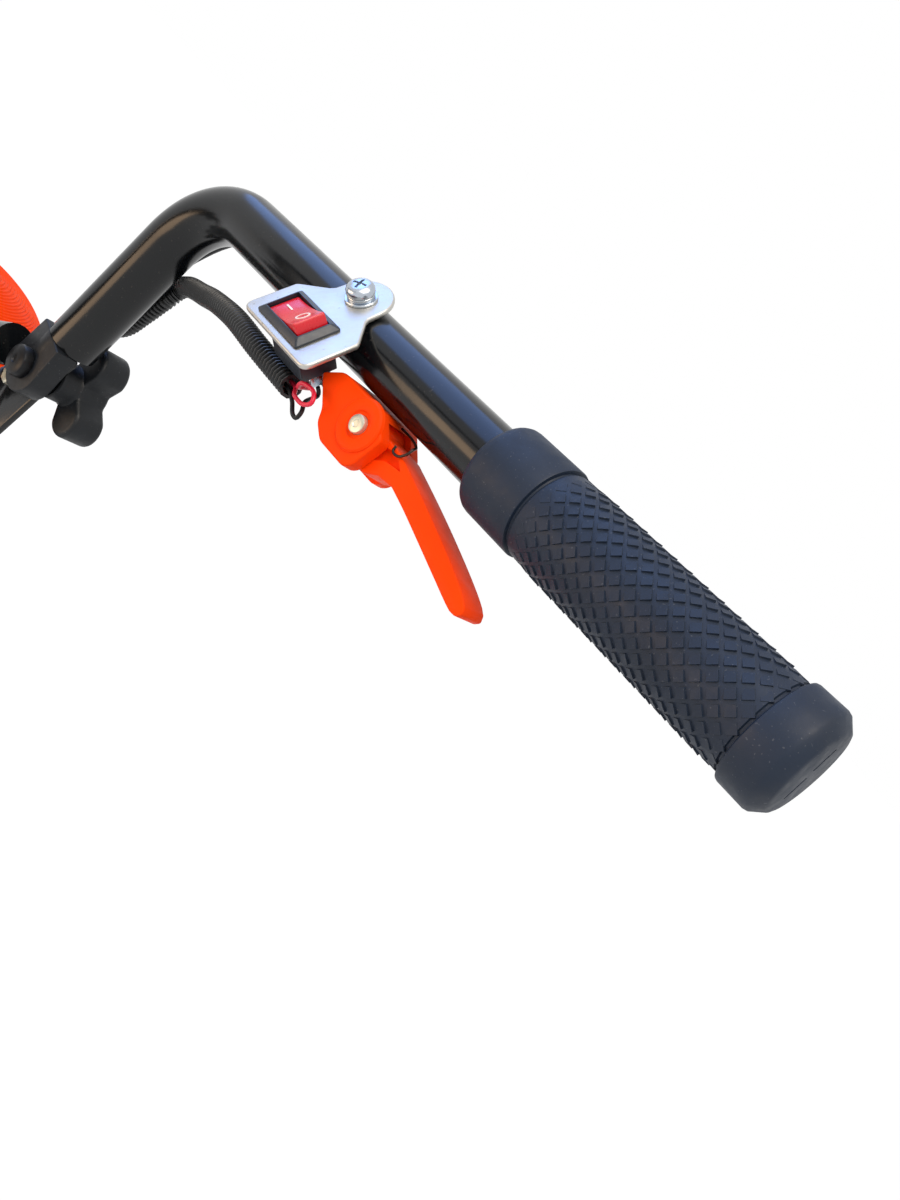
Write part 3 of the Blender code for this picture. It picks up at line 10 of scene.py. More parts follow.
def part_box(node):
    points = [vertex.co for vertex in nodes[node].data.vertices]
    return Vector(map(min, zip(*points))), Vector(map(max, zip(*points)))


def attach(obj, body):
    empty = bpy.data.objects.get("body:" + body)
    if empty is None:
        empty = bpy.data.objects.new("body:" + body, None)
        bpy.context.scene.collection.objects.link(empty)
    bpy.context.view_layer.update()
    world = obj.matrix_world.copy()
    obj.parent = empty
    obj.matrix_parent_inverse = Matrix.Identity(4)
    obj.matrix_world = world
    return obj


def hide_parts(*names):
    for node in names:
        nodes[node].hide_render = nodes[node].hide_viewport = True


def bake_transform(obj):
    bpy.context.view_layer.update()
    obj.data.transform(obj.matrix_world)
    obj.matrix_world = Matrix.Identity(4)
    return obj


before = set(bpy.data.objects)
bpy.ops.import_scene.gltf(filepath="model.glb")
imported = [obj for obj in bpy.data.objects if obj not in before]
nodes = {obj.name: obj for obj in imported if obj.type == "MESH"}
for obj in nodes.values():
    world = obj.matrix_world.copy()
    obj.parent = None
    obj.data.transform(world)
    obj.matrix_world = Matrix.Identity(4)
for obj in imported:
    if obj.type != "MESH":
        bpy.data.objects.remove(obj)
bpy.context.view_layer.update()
mm = 0.001

# the tine axle is the part's own zero, across and forward
axleLow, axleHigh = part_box("tine_shaft")
fromAxle = Matrix.Translation((0, (axleLow.y + axleHigh.y) / 2, 0)) @ Matrix.Scale(mm, 4)
inPlace = Matrix.Identity(4)

handle = {
    "pivot": (62.0, -245.0, 600.0),
    "splay": 28.0,
    "runSlope": 6.0,
    "bend": 77.7,
    "bendRadius": 37.0,
    "frontRun": 112.0,
    "rearRun": 305.0,
    "tubeStart": 19.0,
    "tubeDiameter": 22.2,
    "tubeWall": 1.6,
}


def frameOf(x, y, z, origin):
    # matrix whose columns are the three directions and the origin
    matrix = Matrix((x, y, z)).transposed().to_4x4()
    matrix.translation = origin
    return matrix


def handleFrames(sign):
    # joint: X forward, Y up, Z outward at the pivot
    # side: X to the grip end, Y down, Z outward at the bend corner
    splay = radians(handle["splay"])
    slope = radians(handle["runSlope"])
    lean = radians(handle["runSlope"] + handle["bend"])
    pivot = Vector((sign * handle["pivot"][0], *handle["pivot"][1:]))
    out = Vector((sign * cos(splay), sin(splay), 0))
    ahead = Vector((-sign * sin(splay), cos(splay), 0))
    up = Vector((0, 0, 1))
    run = up * sin(slope) - ahead * cos(slope)
    drop = -ahead * sin(slope) - up * cos(slope)
    rise = up * sin(lean) - ahead * cos(lean)
    corner = pivot + rise * handle["frontRun"]
    return {
        "joint": frameOf(ahead, up, out, pivot),
        "side": frameOf(run, drop, out, corner),
    }


sides = {"right": handleFrames(1), "left": handleFrames(-1)}
right = sides["right"]


def turnedTo(z, x, origin):
    # frame whose Z and X point along the given directions
    z = Vector(z)
    x = Vector(x)
    return frameOf(x, z.cross(x), z, origin)


def alongX(x=0.0, y=0.0, z=0.0):
    return frameOf((0, 1, 0), (0, 0, 1), (1, 0, 0), (x, y, z))


def alongY(x=0.0, y=0.0, z=0.0):
    return frameOf((0, 0, 1), (1, 0, 0), (0, 1, 0), (x, y, z))


def clearSelection():
    if bpy.context.object and bpy.context.object.mode != "OBJECT":
        bpy.ops.object.mode_set(mode="OBJECT")
    bpy.ops.object.select_all(action="DESELECT")


def makeActive(piece):
    clearSelection()
    piece.select_set(True)
    bpy.context.view_layer.objects.active = piece


def startChain(name, points):
    # a single vertex, extruded from point to point
    points = [Vector(point).to_3d() for point in points]
    clearSelection()
    bpy.ops.mesh.primitive_plane_add(size=1.0)
    piece = bpy.context.object
    piece.name = name
    bpy.ops.object.mode_set(mode="EDIT")
    bpy.ops.mesh.select_mode(type="VERT")
    bpy.ops.mesh.select_all(action="SELECT")
    bpy.ops.mesh.merge(type="CENTER")
    bpy.ops.transform.translate(value=points[0])
    for start, end in zip(points, points[1:]):
        bpy.ops.mesh.extrude_vertices_move(TRANSFORM_OT_translate={"value": end - start})
    return piece


def tidyMesh(piece, merge=0.0005):
    makeActive(piece)
    bpy.ops.object.mode_set(mode="EDIT")
    bpy.ops.mesh.select_all(action="SELECT")
    bpy.ops.mesh.remove_doubles(threshold=merge)
    bpy.ops.mesh.normals_make_consistent(inside=False)
    bpy.ops.object.mode_set(mode="OBJECT")


def spinProfile(name, profile, steps=64, sweep=360.0):
    # a profile of (radius, height) points, spun round Z
    piece = startChain(name, [(radius, 0, height) for radius, height in profile])
    bpy.ops.mesh.select_all(action="SELECT")
    bpy.ops.mesh.spin(steps=steps, angle=radians(sweep), center=(0, 0, 0), axis=(0, 0, 1))
    tidyMesh(piece)
    return piece


def raiseOutline(name, outline, low, high):
    # a flat closed outline, filled and extruded along Z
    piece = startChain(name, [(x, y, low) for x, y in outline])
    bpy.ops.mesh.select_all(action="SELECT")
    bpy.ops.mesh.edge_face_add()
    bpy.ops.mesh.extrude_region_move(TRANSFORM_OT_translate={"value": (0, 0, high - low)})
    tidyMesh(piece)
    return piece


def boxAt(name, low, high):
    return raiseOutline(name, [(low[0], low[1]), (high[0], low[1]), (high[0], high[1]), (low[0], high[1])],
                        low[2], high[2])


def barAt(name, radius, low, high, steps=32, x=0.0, y=0.0):
    clearSelection()
    bpy.ops.mesh.primitive_cylinder_add(vertices=steps, radius=radius, depth=high - low,
                                        location=(x, y, (low + high) / 2))
    bpy.ops.object.transform_apply(location=True, rotation=True, scale=True)
    piece = bpy.context.object
    piece.name = name
    return piece


def applyModifier(piece, kind, **settings):
    makeActive(piece)
    modifier = piece.modifiers.new(kind.title(), kind)
    for key, value in settings.items():
        setattr(modifier, key, value)
    bpy.ops.object.modifier_apply(modifier=modifier.name)


def roundEdges(piece, width, segments=3, angle=30.0):
    applyModifier(piece, "BEVEL", width=width, segments=segments, limit_method="ANGLE",
                  angle_limit=radians(angle))


def easedBox(name, low, high, edge):
    piece = boxAt(name, low, high)
    roundEdges(piece, edge, 2)
    return piece


def shapeWith(piece, operation, *tools):
    # cuts with, or adds, each tool in turn
    for tool in tools:
        applyModifier(piece, "BOOLEAN", operation=operation, object=tool, solver="EXACT")
        bpy.data.objects.remove(tool)
    return piece


def joinWith(piece, *others):
    makeActive(piece)
    for other in others:
        other.select_set(True)
    bpy.ops.object.join()
    return piece


def moved(piece, matrix):
    # turns and moves a piece in its own mesh
    piece.matrix_world = matrix
    makeActive(piece)
    bpy.ops.object.transform_apply(location=True, rotation=True, scale=True)
    return piece


def copyOf(piece, matrix=inPlace):
    twin = piece.copy()
    twin.data = piece.data.copy()
    bpy.context.scene.collection.objects.link(twin)
    twin.matrix_world = matrix
    return twin


def repeated(piece, matrices):
    # one modelled shape, copied to each place and joined
    copies = [copyOf(piece, matrix) for matrix in matrices]
    bpy.data.objects.remove(piece)
    joined = joinWith(copies[0], *copies[1:])
    makeActive(joined)
    bpy.ops.object.transform_apply(location=True, rotation=True, scale=True)
    return joined


def selectWhere(piece, kind, test):
    # picks vertices, edges or polygons by their place, and stays in edit mode
    makeActive(piece)
    bpy.ops.object.mode_set(mode="EDIT")
    bpy.ops.mesh.select_mode(type={"vertices": "VERT", "edges": "EDGE", "polygons": "FACE"}[kind])
    bpy.ops.mesh.select_all(action="DESELECT")
    bpy.ops.object.mode_set(mode="OBJECT")
    corners = piece.data.vertices
    for item in getattr(piece.data, kind):
        spots = [item.co] if kind == "vertices" else [corners[index].co for index in item.vertices]
        item.select = all(test(spot) for spot in spots)
    bpy.ops.object.mode_set(mode="EDIT")


def shiftWhere(piece, test, offset):
    selectWhere(piece, "vertices", test)
    bpy.ops.transform.translate(value=offset)
    bpy.ops.object.mode_set(mode="OBJECT")


def arcPoints(x, y, radius, start, end, count):
    turns = [radians(start + (end - start) * i / count) for i in range(count + 1)]
    return [(x + radius * cos(t), y + radius * sin(t)) for t in turns]


def roundedBox(x0, y0, x1, y1, radius, steps=5):
    outline = []
    for x, y, start in ((x1 - radius, y1 - radius, 0), (x0 + radius, y1 - radius, 90),
                        (x0 + radius, y0 + radius, 180), (x1 - radius, y0 + radius, 270)):
        outline += arcPoints(x, y, radius, start, start + 90, steps)
    return outline


def easeCorners(points, reach, steps=4):
    # rounds every corner of a closed outline
    points = [Vector(point) for point in points]
    eased = []
    for before, corner, after in zip(points[-1:] + points[:-1], points, points[1:] + points[:1]):
        start = corner + (before - corner).normalized() * min(reach, (before - corner).length * 0.45)
        end = corner + (after - corner).normalized() * min(reach, (after - corner).length * 0.45)
        for step in range(steps + 1):
            t = step / steps
            eased.append(start * (1 - t) ** 2 + corner * 2 * t * (1 - t) + end * t * t)
    return [tuple(point) for point in eased]


def wireAlong(name, points, radius, sides=12):
    # round wire through the points; radius is one number or one for each point
    clearSelection()
    curve = bpy.data.curves.new(name, "CURVE")
    curve.dimensions = "3D"
    curve.bevel_depth = 1.0
    curve.bevel_resolution = max(0, sides // 4 - 1)
    curve.use_fill_caps = True
    spline = curve.splines.new("POLY")
    spline.points.add(len(points) - 1)
    for index, point in enumerate(points):
        spline.points[index].co = (*point, 1)
        spline.points[index].radius = radius[index] if isinstance(radius, list) else radius
    piece = bpy.data.objects.new(name, curve)
    bpy.context.scene.collection.objects.link(piece)
    makeActive(piece)
    bpy.ops.object.convert(target="MESH")
    return bpy.context.object


def smoothPoints(points, spacing):
    # evenly spaced points on a smooth curve through the given ones
    points = [Vector(point) for point in points]
    ends = [points[0] * 2 - points[1], *points, points[-1] * 2 - points[-2]]
    fine = []
    for a, b, c, d in zip(ends, ends[1:], ends[2:], ends[3:]):
        for step in range(24):
            t = step / 24
            fine.append(0.5 * (2 * b + (c - a) * t + (2 * a - 5 * b + 4 * c - d) * t * t
                               + (3 * b - a - 3 * c + d) * t * t * t))
    fine.append(points[-1])
    total = sum((q - p).length for p, q in zip(fine, fine[1:]))
    count = max(2, round(total / spacing))
    route = [fine[0]]
    walked = 0.0
    for p, q in zip(fine, fine[1:]):
        step = (q - p).length
        while len(route) < count and walked + step >= total * len(route) / count:
            route.append(p.lerp(q, (total * len(route) / count - walked) / step))
        walked += step
    route.append(fine[-1])
    return route


def bentRoute(points, radius, steps=8):
    # straight runs joined by round bends
    points = [Vector(point) for point in points]
    route = [points[0]]
    for start, corner, end in zip(points, points[1:], points[2:]):
        before = (corner - start).normalized()
        after = (end - corner).normalized()
        turn = before.angle(after)
        inward = (after - before * before.dot(after)).normalized()
        centre = corner - before * radius * tan(turn / 2) + inward * radius
        for step in range(steps + 1):
            t = turn * step / steps
            route.append(centre + (before * sin(t) - inward * cos(t)) * radius)
    return route + [points[-1]]


def finishPiece(piece, placing, skin, body, *replaced, smooth=32.0):
    # puts a piece that was modelled in millimetres where it belongs on the part
    moved(piece, fromAxle @ placing)
    tidyMesh(piece, merge=0.0000005)
    makeActive(piece)
    bpy.ops.object.shade_smooth_by_angle(angle=radians(smooth))
    piece.data.materials.clear()
    piece.data.materials.append(skin)
    if body:
        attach(piece, body)
    if replaced:
        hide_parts(*replaced)
    return piece


def linear(hexColour):
    # sRGB hex to the linear colour that the shader works in
    values = [int(hexColour[i:i + 2], 16) / 255 for i in (1, 3, 5)]
    return (*[v / 12.92 if v <= 0.04045 else ((v + 0.055) / 1.055) ** 2.4 for v in values], 1.0)


def addNode(skin, kind, sockets=None, **settings):
    # one node: settings are its options, sockets its values or the outputs that feed it
    node = skin.node_tree.nodes.new(kind)
    for key, value in settings.items():
        setattr(node, key, value)
    for key, value in (sockets or {}).items():
        if isinstance(value, bpy.types.NodeSocket):
            skin.node_tree.links.new(value, node.inputs[key])
        else:
            node.inputs[key].default_value = value
    return node


spans = {
    # the part of each pattern's 0 to 1 that makes a speck, a paler edge or a change of gloss; the paler edge
    # is rubbed wear, and a painted highlight on the zinc plate's rim, the bezel's edges and the conduit's
    # crests
    "speck": (0.70, 0.76),
    "edge": (0.75, 0.98),
    "gloss": (0.3, 0.7),
}


def spanOf(kind):
    return {"From Min": spans[kind][0], "From Max": spans[kind][1]}


def layeredSkin(name, slot, look):
    # what every surface here shares: patches of two close colours, uneven gloss, specks, a fine
    # relief and paler edges, which are rubbed wear on most surfaces and a painted highlight on some; sizes
    # are the real ones in millimetres
    skin = bpy.data.materials.new(name)
    skin.use_nodes = True
    skin["slot"] = slot
    shader = skin.node_tree.nodes["Principled BSDF"]
    for key, value in look.get("shader", {}).items():
        shader.inputs[key].default_value = value
    place = addNode(skin, "ShaderNodeTexCoord").outputs["Object"]
    stretched = addNode(skin, "ShaderNodeMapping", {
        "Vector": place, "Rotation": look.get("turn", (0.0, 0.0, 0.0)),
        "Scale": look.get("stretch", (1.0, 1.0, 1.0))}).outputs["Vector"]
    patches = addNode(skin, "ShaderNodeTexNoise", {
        "Vector": place, "Scale": 1 / (look["patch"] * mm), "Detail": 3.0})
    smears = addNode(skin, "ShaderNodeTexNoise", {
        "Vector": stretched, "Scale": 1 / (look["smear"] * mm), "Detail": 4.0})
    grain = addNode(skin, "ShaderNodeTexNoise", {
        "Vector": stretched, "Scale": 1 / (look["grain"] * mm), "Detail": 2.0})
    specks = addNode(skin, "ShaderNodeTexNoise", {
        "Vector": place, "Scale": 1 / (look.get("speck", 1.2) * mm), "Detail": 1.0})
    speckShare = addNode(skin, "ShaderNodeMapRange", {
        "Value": specks.outputs["Fac"], **spanOf("speck"), "To Max": look.get("speckShare", 0.0)})
    colour = addNode(skin, "ShaderNodeMix", {
        "Factor": patches.outputs["Fac"], "A": linear(look["colour"]),
        "B": linear(look["second"])}, data_type="RGBA")
    dusted = addNode(skin, "ShaderNodeMix", {
        "Factor": speckShare.outputs["Result"], "A": colour.outputs["Result"],
        "B": linear(look.get("speckColour", "#8d8a82"))}, data_type="RGBA")
    # an edge is where the rounded normal leaves the flat one
    rounded = addNode(skin, "ShaderNodeBevel", {"Radius": look.get("edge", 0.5) * mm}, samples=4)
    flat = addNode(skin, "ShaderNodeNewGeometry")
    agreement = addNode(skin, "ShaderNodeVectorMath", {
        0: rounded.outputs["Normal"], 1: flat.outputs["Normal"]}, operation="DOT_PRODUCT")
    # paler edges: rubbed wear on most surfaces, a painted highlight on the zinc plate's rim, the bezel's
    # edges and the conduit's crests
    edgeWearAndSheen = addNode(skin, "ShaderNodeMapRange", {
        "Value": agreement.outputs["Value"], **spanOf("edge"),
        "To Min": look.get("edgeWearAndSheen", 0.0), "To Max": 0.0})
    wearAndSheenPatches = addNode(skin, "ShaderNodeMath", {
        0: edgeWearAndSheen.outputs["Result"], 1: smears.outputs["Fac"]}, operation="MULTIPLY")
    wearAndSheenColoured = addNode(skin, "ShaderNodeMix", {
        "Factor": wearAndSheenPatches.outputs["Value"], "A": dusted.outputs["Result"],
        "B": linear(look.get("edgeColour", look["second"]))}, data_type="RGBA")
    gloss = addNode(skin, "ShaderNodeMapRange", {
        "Value": smears.outputs["Fac"], **spanOf("gloss"),
        "To Min": look["rough"][0], "To Max": look["rough"][1]})
    relief = addNode(skin, "ShaderNodeBump", {
        "Height": grain.outputs["Fac"], "Distance": look["relief"] * mm,
        "Strength": look.get("reliefShare", 0.5)})
    skin.node_tree.links.new(wearAndSheenColoured.outputs["Result"], shader.inputs["Base Color"])
    skin.node_tree.links.new(gloss.outputs["Result"], shader.inputs["Roughness"])
    skin.node_tree.links.new(relief.outputs["Normal"], shader.inputs["Normal"])
    return skin


skins = {
    # stoved gloss enamel on steel: deep black, faint orange peel, a little garden dust
    "gloss_black": layeredSkin("stovedBlackEnamel", "gloss_black", {
        "colour": "#07090b", "second": "#0c0f12", "patch": 40.0, "rough": (0.13, 0.24), "smear": 38.0,
        "grain": 2.6, "relief": 0.02, "speck": 1.1, "speckShare": 0.35, "speckColour": "#4a463f",
        "edge": 0.6, "edgeWearAndSheen": 0.25, "edgeColour": "#3a3d40",
        "shader": {"Specular IOR Level": 0.34}}),
    # moulded natural rubber: dull, with a fine spark-eroded grain and pale lint; the blue tint of its
    # colours is a painted blue sky reflection
    "grip_rubber": layeredSkin("mouldedRubber", "grip_rubber", {
        "colour": "#131c2a", "second": "#1d2a3d", "patch": 16.0, "rough": (0.46, 0.62), "smear": 4.0,
        "grain": 0.4, "relief": 0.03, "speck": 0.7, "speckShare": 0.14, "speckColour": "#8f949a",
        "edge": 0.4, "edgeWearAndSheen": 0.5, "edgeColour": "#333942", "shader": {"Specular IOR Level": 0.3}}),
    # injection-moulded nylon: strong orange, satin, faint flow marks, a pale rub on the edges
    "orange_plastic": layeredSkin("mouldedOrangeNylon", "orange_plastic", {
        "colour": "#f53b02", "second": "#ff4a08", "patch": 26.0, "rough": (0.42, 0.56), "smear": 6.0,
        "grain": 0.5, "relief": 0.015, "speck": 1.4, "speckShare": 0.12, "speckColour": "#7c2a12",
        "edge": 0.6, "edgeWearAndSheen": 0.6, "edgeColour": "#ff6a2c", "shader": {"Specular IOR Level": 0.06}}),
    # glossy red acetal of the rocker
    "red_plastic": layeredSkin("glossRedAcetal", "red_plastic", {
        "colour": "#c40f1d", "second": "#d51c2b", "patch": 5.0, "rough": (0.24, 0.34), "smear": 1.6,
        "grain": 0.6, "relief": 0.003, "edge": 0.35, "edgeWearAndSheen": 0.6, "edgeColour": "#ee5560",
        "shader": {"Coat Weight": 0.15}}),
    # glass-filled black nylon: satin, finely textured, greyer where hands rub it
    "black_plastic": layeredSkin("glassFilledNylon", "black_plastic", {
        "colour": "#0e1114", "second": "#171b20", "patch": 8.0, "rough": (0.38, 0.54), "smear": 3.0,
        "grain": 0.45, "relief": 0.02, "speck": 1.0, "speckShare": 0.3, "speckColour": "#5c5f62",
        "edge": 0.5, "edgeWearAndSheen": 0.6, "edgeColour": "#3b4148", "shader": {"Specular IOR Level": 0.3}}),
    # zinc-plated mild steel sheet: warm light grey with cross scratches, and a near-white painted highlight
    # along its rounded rim
    "zinc_plate": layeredSkin("zincPlatedSheet", "zinc_plate", {
        "colour": "#c9c8c3", "second": "#b4b2ac", "patch": 9.0, "rough": (0.32, 0.5), "smear": 3.5,
        "grain": 1.6, "relief": 0.01, "turn": (0.5, 0.3, 0.9), "stretch": (1.0, 9.0, 1.0), "speck": 1.7,
        "speckShare": 0.45, "speckColour": "#8f8b82", "edge": 0.7, "edgeWearAndSheen": 1.6, "edgeColour": "#f4f7fa",
        "shader": {"Metallic": 0.85}}),
    # bright blue-passivated zinc on turned steel
    "bright_steel": layeredSkin("bluePassivatedZinc", "bright_steel", {
        "colour": "#c4ccd6", "second": "#a6aeb8", "patch": 3.0, "rough": (0.16, 0.32), "smear": 1.8,
        "grain": 0.7, "relief": 0.008, "edge": 0.4, "edgeWearAndSheen": 1.0, "edgeColour": "#eef3f8",
        "shader": {"Metallic": 1.0}}),
    # oil-tempered spring wire and heat-dulled silencer steel: brown-black with a low shine
    "spring_steel": layeredSkin("oilTemperedSteel", "spring_steel", {
        "colour": "#2b2825", "second": "#46403a", "patch": 6.0, "rough": (0.3, 0.5), "smear": 2.0,
        "grain": 0.8, "relief": 0.02, "edge": 0.6, "edgeWearAndSheen": 0.8, "edgeColour": "#7b7167",
        "shader": {"Metallic": 1.0}}),
    # pressure die-cast aluminium: grey grainy skin with lighter rubbed edges
    "cast_aluminium": layeredSkin("dieCastAluminium", "cast_aluminium", {
        "colour": "#85888b", "second": "#a3a6a8", "patch": 7.0, "rough": (0.42, 0.6), "smear": 3.0,
        "grain": 0.9, "relief": 0.06, "reliefShare": 0.6, "speck": 2.2, "speckShare": 0.35,
        "speckColour": "#55575a", "edge": 1.0, "edgeWearAndSheen": 1.2, "edgeColour": "#cfd1d2",
        "shader": {"Metallic": 0.9}}),
    # machined tin bronze with an oil tint
    "bronze": layeredSkin("machinedTinBronze", "bronze", {
        "colour": "#a9783a", "second": "#8a5f2c", "patch": 4.0, "rough": (0.26, 0.42), "smear": 2.0,
        "grain": 0.6, "relief": 0.01, "shader": {"Metallic": 1.0}}),
    # hardened spring steel in thin black paint, rubbed to bare metal along the edges
    "tine_steel": layeredSkin("rubbedTinePaint", "tine_steel", {
        "colour": "#18191a", "second": "#232322", "patch": 12.0, "rough": (0.34, 0.54), "smear": 5.0,
        "grain": 1.4, "relief": 0.04, "reliefShare": 0.6, "speck": 3.0, "speckShare": 0.4,
        "speckColour": "#5a5148", "edge": 1.8, "edgeWearAndSheen": 1.8, "edgeColour": "#a6a39d",
        "shader": {"Metallic": 0.2}}),
    # blow-moulded polyethylene: milky, faintly see-through, softly dimpled
    "fuel_plastic": layeredSkin("blowMouldedPolythene", "fuel_plastic", {
        "colour": "#dedbcf", "second": "#cbc7b6", "patch": 30.0, "rough": (0.36, 0.52), "smear": 7.0,
        "grain": 6.0, "relief": 0.12, "reliefShare": 0.4, "edge": 1.5, "edgeWearAndSheen": 0.5, "edgeColour": "#eeece4",
        "shader": {"Subsurface Weight": 0.25, "Subsurface Scale": 0.004}}),
    # soft red PVC wire skin
    "wire_red_skin": layeredSkin("softRedPvc", "wire_red_skin", {
        "colour": "#d40f35", "second": "#e3264a", "patch": 3.0, "rough": (0.3, 0.45), "smear": 1.2,
        "grain": 0.5, "relief": 0.008}),
}
# bezel: the same nylon moulded smooth; its blue tint and blue-grey edges are a painted blue sky reflection
# on its slopes
bezelNylon = layeredSkin("smoothBezelNylon", "black_plastic", {
    "colour": "#1c222b", "second": "#272f3a", "patch": 6.0, "rough": (0.3, 0.42), "smear": 2.0,
    "grain": 0.35, "relief": 0.01, "edge": 0.4, "edgeWearAndSheen": 0.6, "edgeColour": "#4b5563"})
# conduit: thin blown polythene, waxy, with a grey painted highlight on the crests
conduitPlastic = layeredSkin("corrugatedPolythene", "black_plastic", {
    "colour": "#121314", "second": "#1d1f21", "patch": 14.0, "rough": (0.3, 0.44), "smear": 3.0,
    "grain": 0.6, "relief": 0.01, "edge": 0.35, "edgeWearAndSheen": 0.7, "edgeColour": "#4a4d50"})
# the filled white marks of the rocker
whiteInlay = layeredSkin("filledWhiteMark", "red_plastic", {
    "colour": "#f4f1ed", "second": "#e8e0da", "patch": 0.8, "rough": (0.35, 0.5), "smear": 0.5,
    "grain": 0.3, "relief": 0.004})
# cream zinc on the lever's pin and the clamp bolts; on the clamp bolts the cream colour is a painted
# highlight on plain zinc
creamZinc = layeredSkin("creamZincAndPaintedHighlight", "bright_steel", {
    "colour": "#d9d6c4", "second": "#bdb9a4", "patch": 1.5, "rough": (0.3, 0.45), "smear": 0.9,
    "grain": 0.5, "relief": 0.01, "edge": 0.4, "edgeWearAndSheen": 1.0, "edgeColour": "#f3f1e6",
    "shader": {"Metallic": 0.7}})
# black oxide on the fold bolts: oily, near black, grey along the worn edges
blackOxide = layeredSkin("blackOxideSteel", "bright_steel", {
    "colour": "#101113", "second": "#1b1c1f", "patch": 4.0, "rough": (0.3, 0.46), "smear": 2.0,
    "grain": 0.7, "relief": 0.01, "edge": 0.4, "edgeWearAndSheen": 0.8, "edgeColour": "#55585c",
    "shader": {"Metallic": 0.6}})
# braided nylon starter cord: charcoal with paler filaments across the lay
wovenCord = layeredSkin("braidedNylonCord", "black_plastic", {
    "colour": "#24262a", "second": "#4c5056", "patch": 0.8, "rough": (0.6, 0.8), "smear": 1.0,
    "grain": 0.35, "relief": 0.08, "turn": (0.6, 0.6, 0.0), "stretch": (1.0, 3.0, 1.0)})
# amber PVC fuel line: smooth, oily, a little clear
amberHose = layeredSkin("amberPvcHose", "black_plastic", {
    "colour": "#b98a34", "second": "#a3742a", "patch": 12.0, "rough": (0.18, 0.3), "smear": 3.0,
    "grain": 1.0, "relief": 0.008, "shader": {"Subsurface Weight": 0.15, "Subsurface Scale": 0.002}})

for node in nodes.values():
    node.data.materials[0] = skins[node.data.materials[0].name.split(".")[0]]
print("materials assigned")


def handleTube(name):
    bend = radians(handle["bend"])
    setback = handle["bendRadius"] * tan(bend / 2)
    rise = Vector((cos(bend), -sin(bend), 0))
    low = -rise * (handle["frontRun"] - handle["tubeStart"])
    clearSelection()
    bpy.ops.mesh.primitive_circle_add(vertices=48, radius=handle["tubeDiameter"] / 2, location=low,
                                      rotation=(radians(90), 0, radians(90) - bend))
    piece = bpy.context.object
    piece.name = f"tube_{name}"
    bpy.ops.object.transform_apply(location=True, rotation=True, scale=True)
    bpy.ops.object.mode_set(mode="EDIT")
    bpy.ops.mesh.select_all(action="SELECT")
    straight = rise * (handle["frontRun"] - handle["tubeStart"] - setback)
    bpy.ops.mesh.extrude_region_move(TRANSFORM_OT_translate={"value": straight})
    # without a window a negative angle spins anticlockwise about +Z
    bpy.ops.mesh.spin(steps=24, angle=-bend, center=(setback, handle["bendRadius"], 0), axis=(0, 0, 1))
    rear = handle["rearRun"] - setback
    bpy.ops.mesh.extrude_region_move(TRANSFORM_OT_translate={"value": (rear, 0, 0)})
    tidyMesh(piece)
    applyModifier(piece, "SOLIDIFY", thickness=handle["tubeWall"], offset=-1.0, use_even_offset=True)
    finishPiece(piece, sides[name]["side"], skins["gloss_black"], f"{name}_handle", f"handle_tube_{name}")


grip = {
    "start": 191.5,
    "length": 119.5,
    "bore": 11.4,
    "endWall": 5.0,
    "collarRadius": 15.6,
    "bodyRadius": 14.8,
    "capRadius": 16.3,
    "capStart": 106.0,
    "capChamfer": 3.5,
    "padsAround": 17,
    "padRows": 28,
    "firstRow": 27.2,
    "rowPitch": 2.83,
    "padHalf": 2.14,
    "padLow": 0.12,
    "padHigh": 0.82,
    "padRoot": 0.5,
    "padTaper": 0.9,
    "padSink": 0.15,
    "padFade": (0.35, 0.7, 1.0),
    "seam": (13.8, 1.2, 0.14),
    "slot": (7.0, 1.0, 2.0),
    "slotPlaces": ((4.6, 0.5), (-4.6, -0.5)),
}


def gripPad():
    # a square on its corner whose face climbs towards the grip's end: X along the grip, Z outward
    root, taper = grip["padRoot"], grip["padTaper"]
    clearSelection()
    bpy.ops.mesh.primitive_circle_add(vertices=4, radius=grip["padHalf"], fill_type="NGON",
                                      location=(0, 0, -root))
    pad = bpy.context.object
    bpy.ops.object.transform_apply(location=True)
    bpy.ops.object.mode_set(mode="EDIT")
    bpy.ops.mesh.select_all(action="SELECT")
    middle = (grip["padLow"] + grip["padHigh"]) / 2
    bpy.ops.mesh.extrude_region_move(TRANSFORM_OT_translate={"value": (0, 0, root + middle)})
    bpy.ops.transform.resize(value=(taper, taper, 1))
    climb = (grip["padHigh"] - grip["padLow"]) / 2
    shiftWhere(pad, lambda spot: spot.x > 1 and spot.z > 0, (0, 0, climb))
    shiftWhere(pad, lambda spot: spot.x < -1 and spot.z > 0, (0, 0, -climb))
    return pad


def gripPads():
    # rows of pads all round, each row half a pad further on, fading out at both ends
    places = []
    rows = grip["padRows"]
    for row in range(rows):
        edge = min(row, rows - 1 - row)
        height = grip["padFade"][min(edge, 2)]
        for step in range(grip["padsAround"]):
            turn = 2 * pi * (step + 0.5 * (row % 2)) / grip["padsAround"]
            out = Vector((cos(turn), sin(turn), 0))
            along = grip["firstRow"] + row * grip["rowPitch"]
            place = frameOf((0, 0, 1), (sin(turn), -cos(turn), 0), out,
                            out * (grip["bodyRadius"] - grip["padSink"]) + Vector((0, 0, along)))
            places.append(place @ Matrix.Diagonal((1, 1, height, 1)))
    return repeated(gripPad(), places)


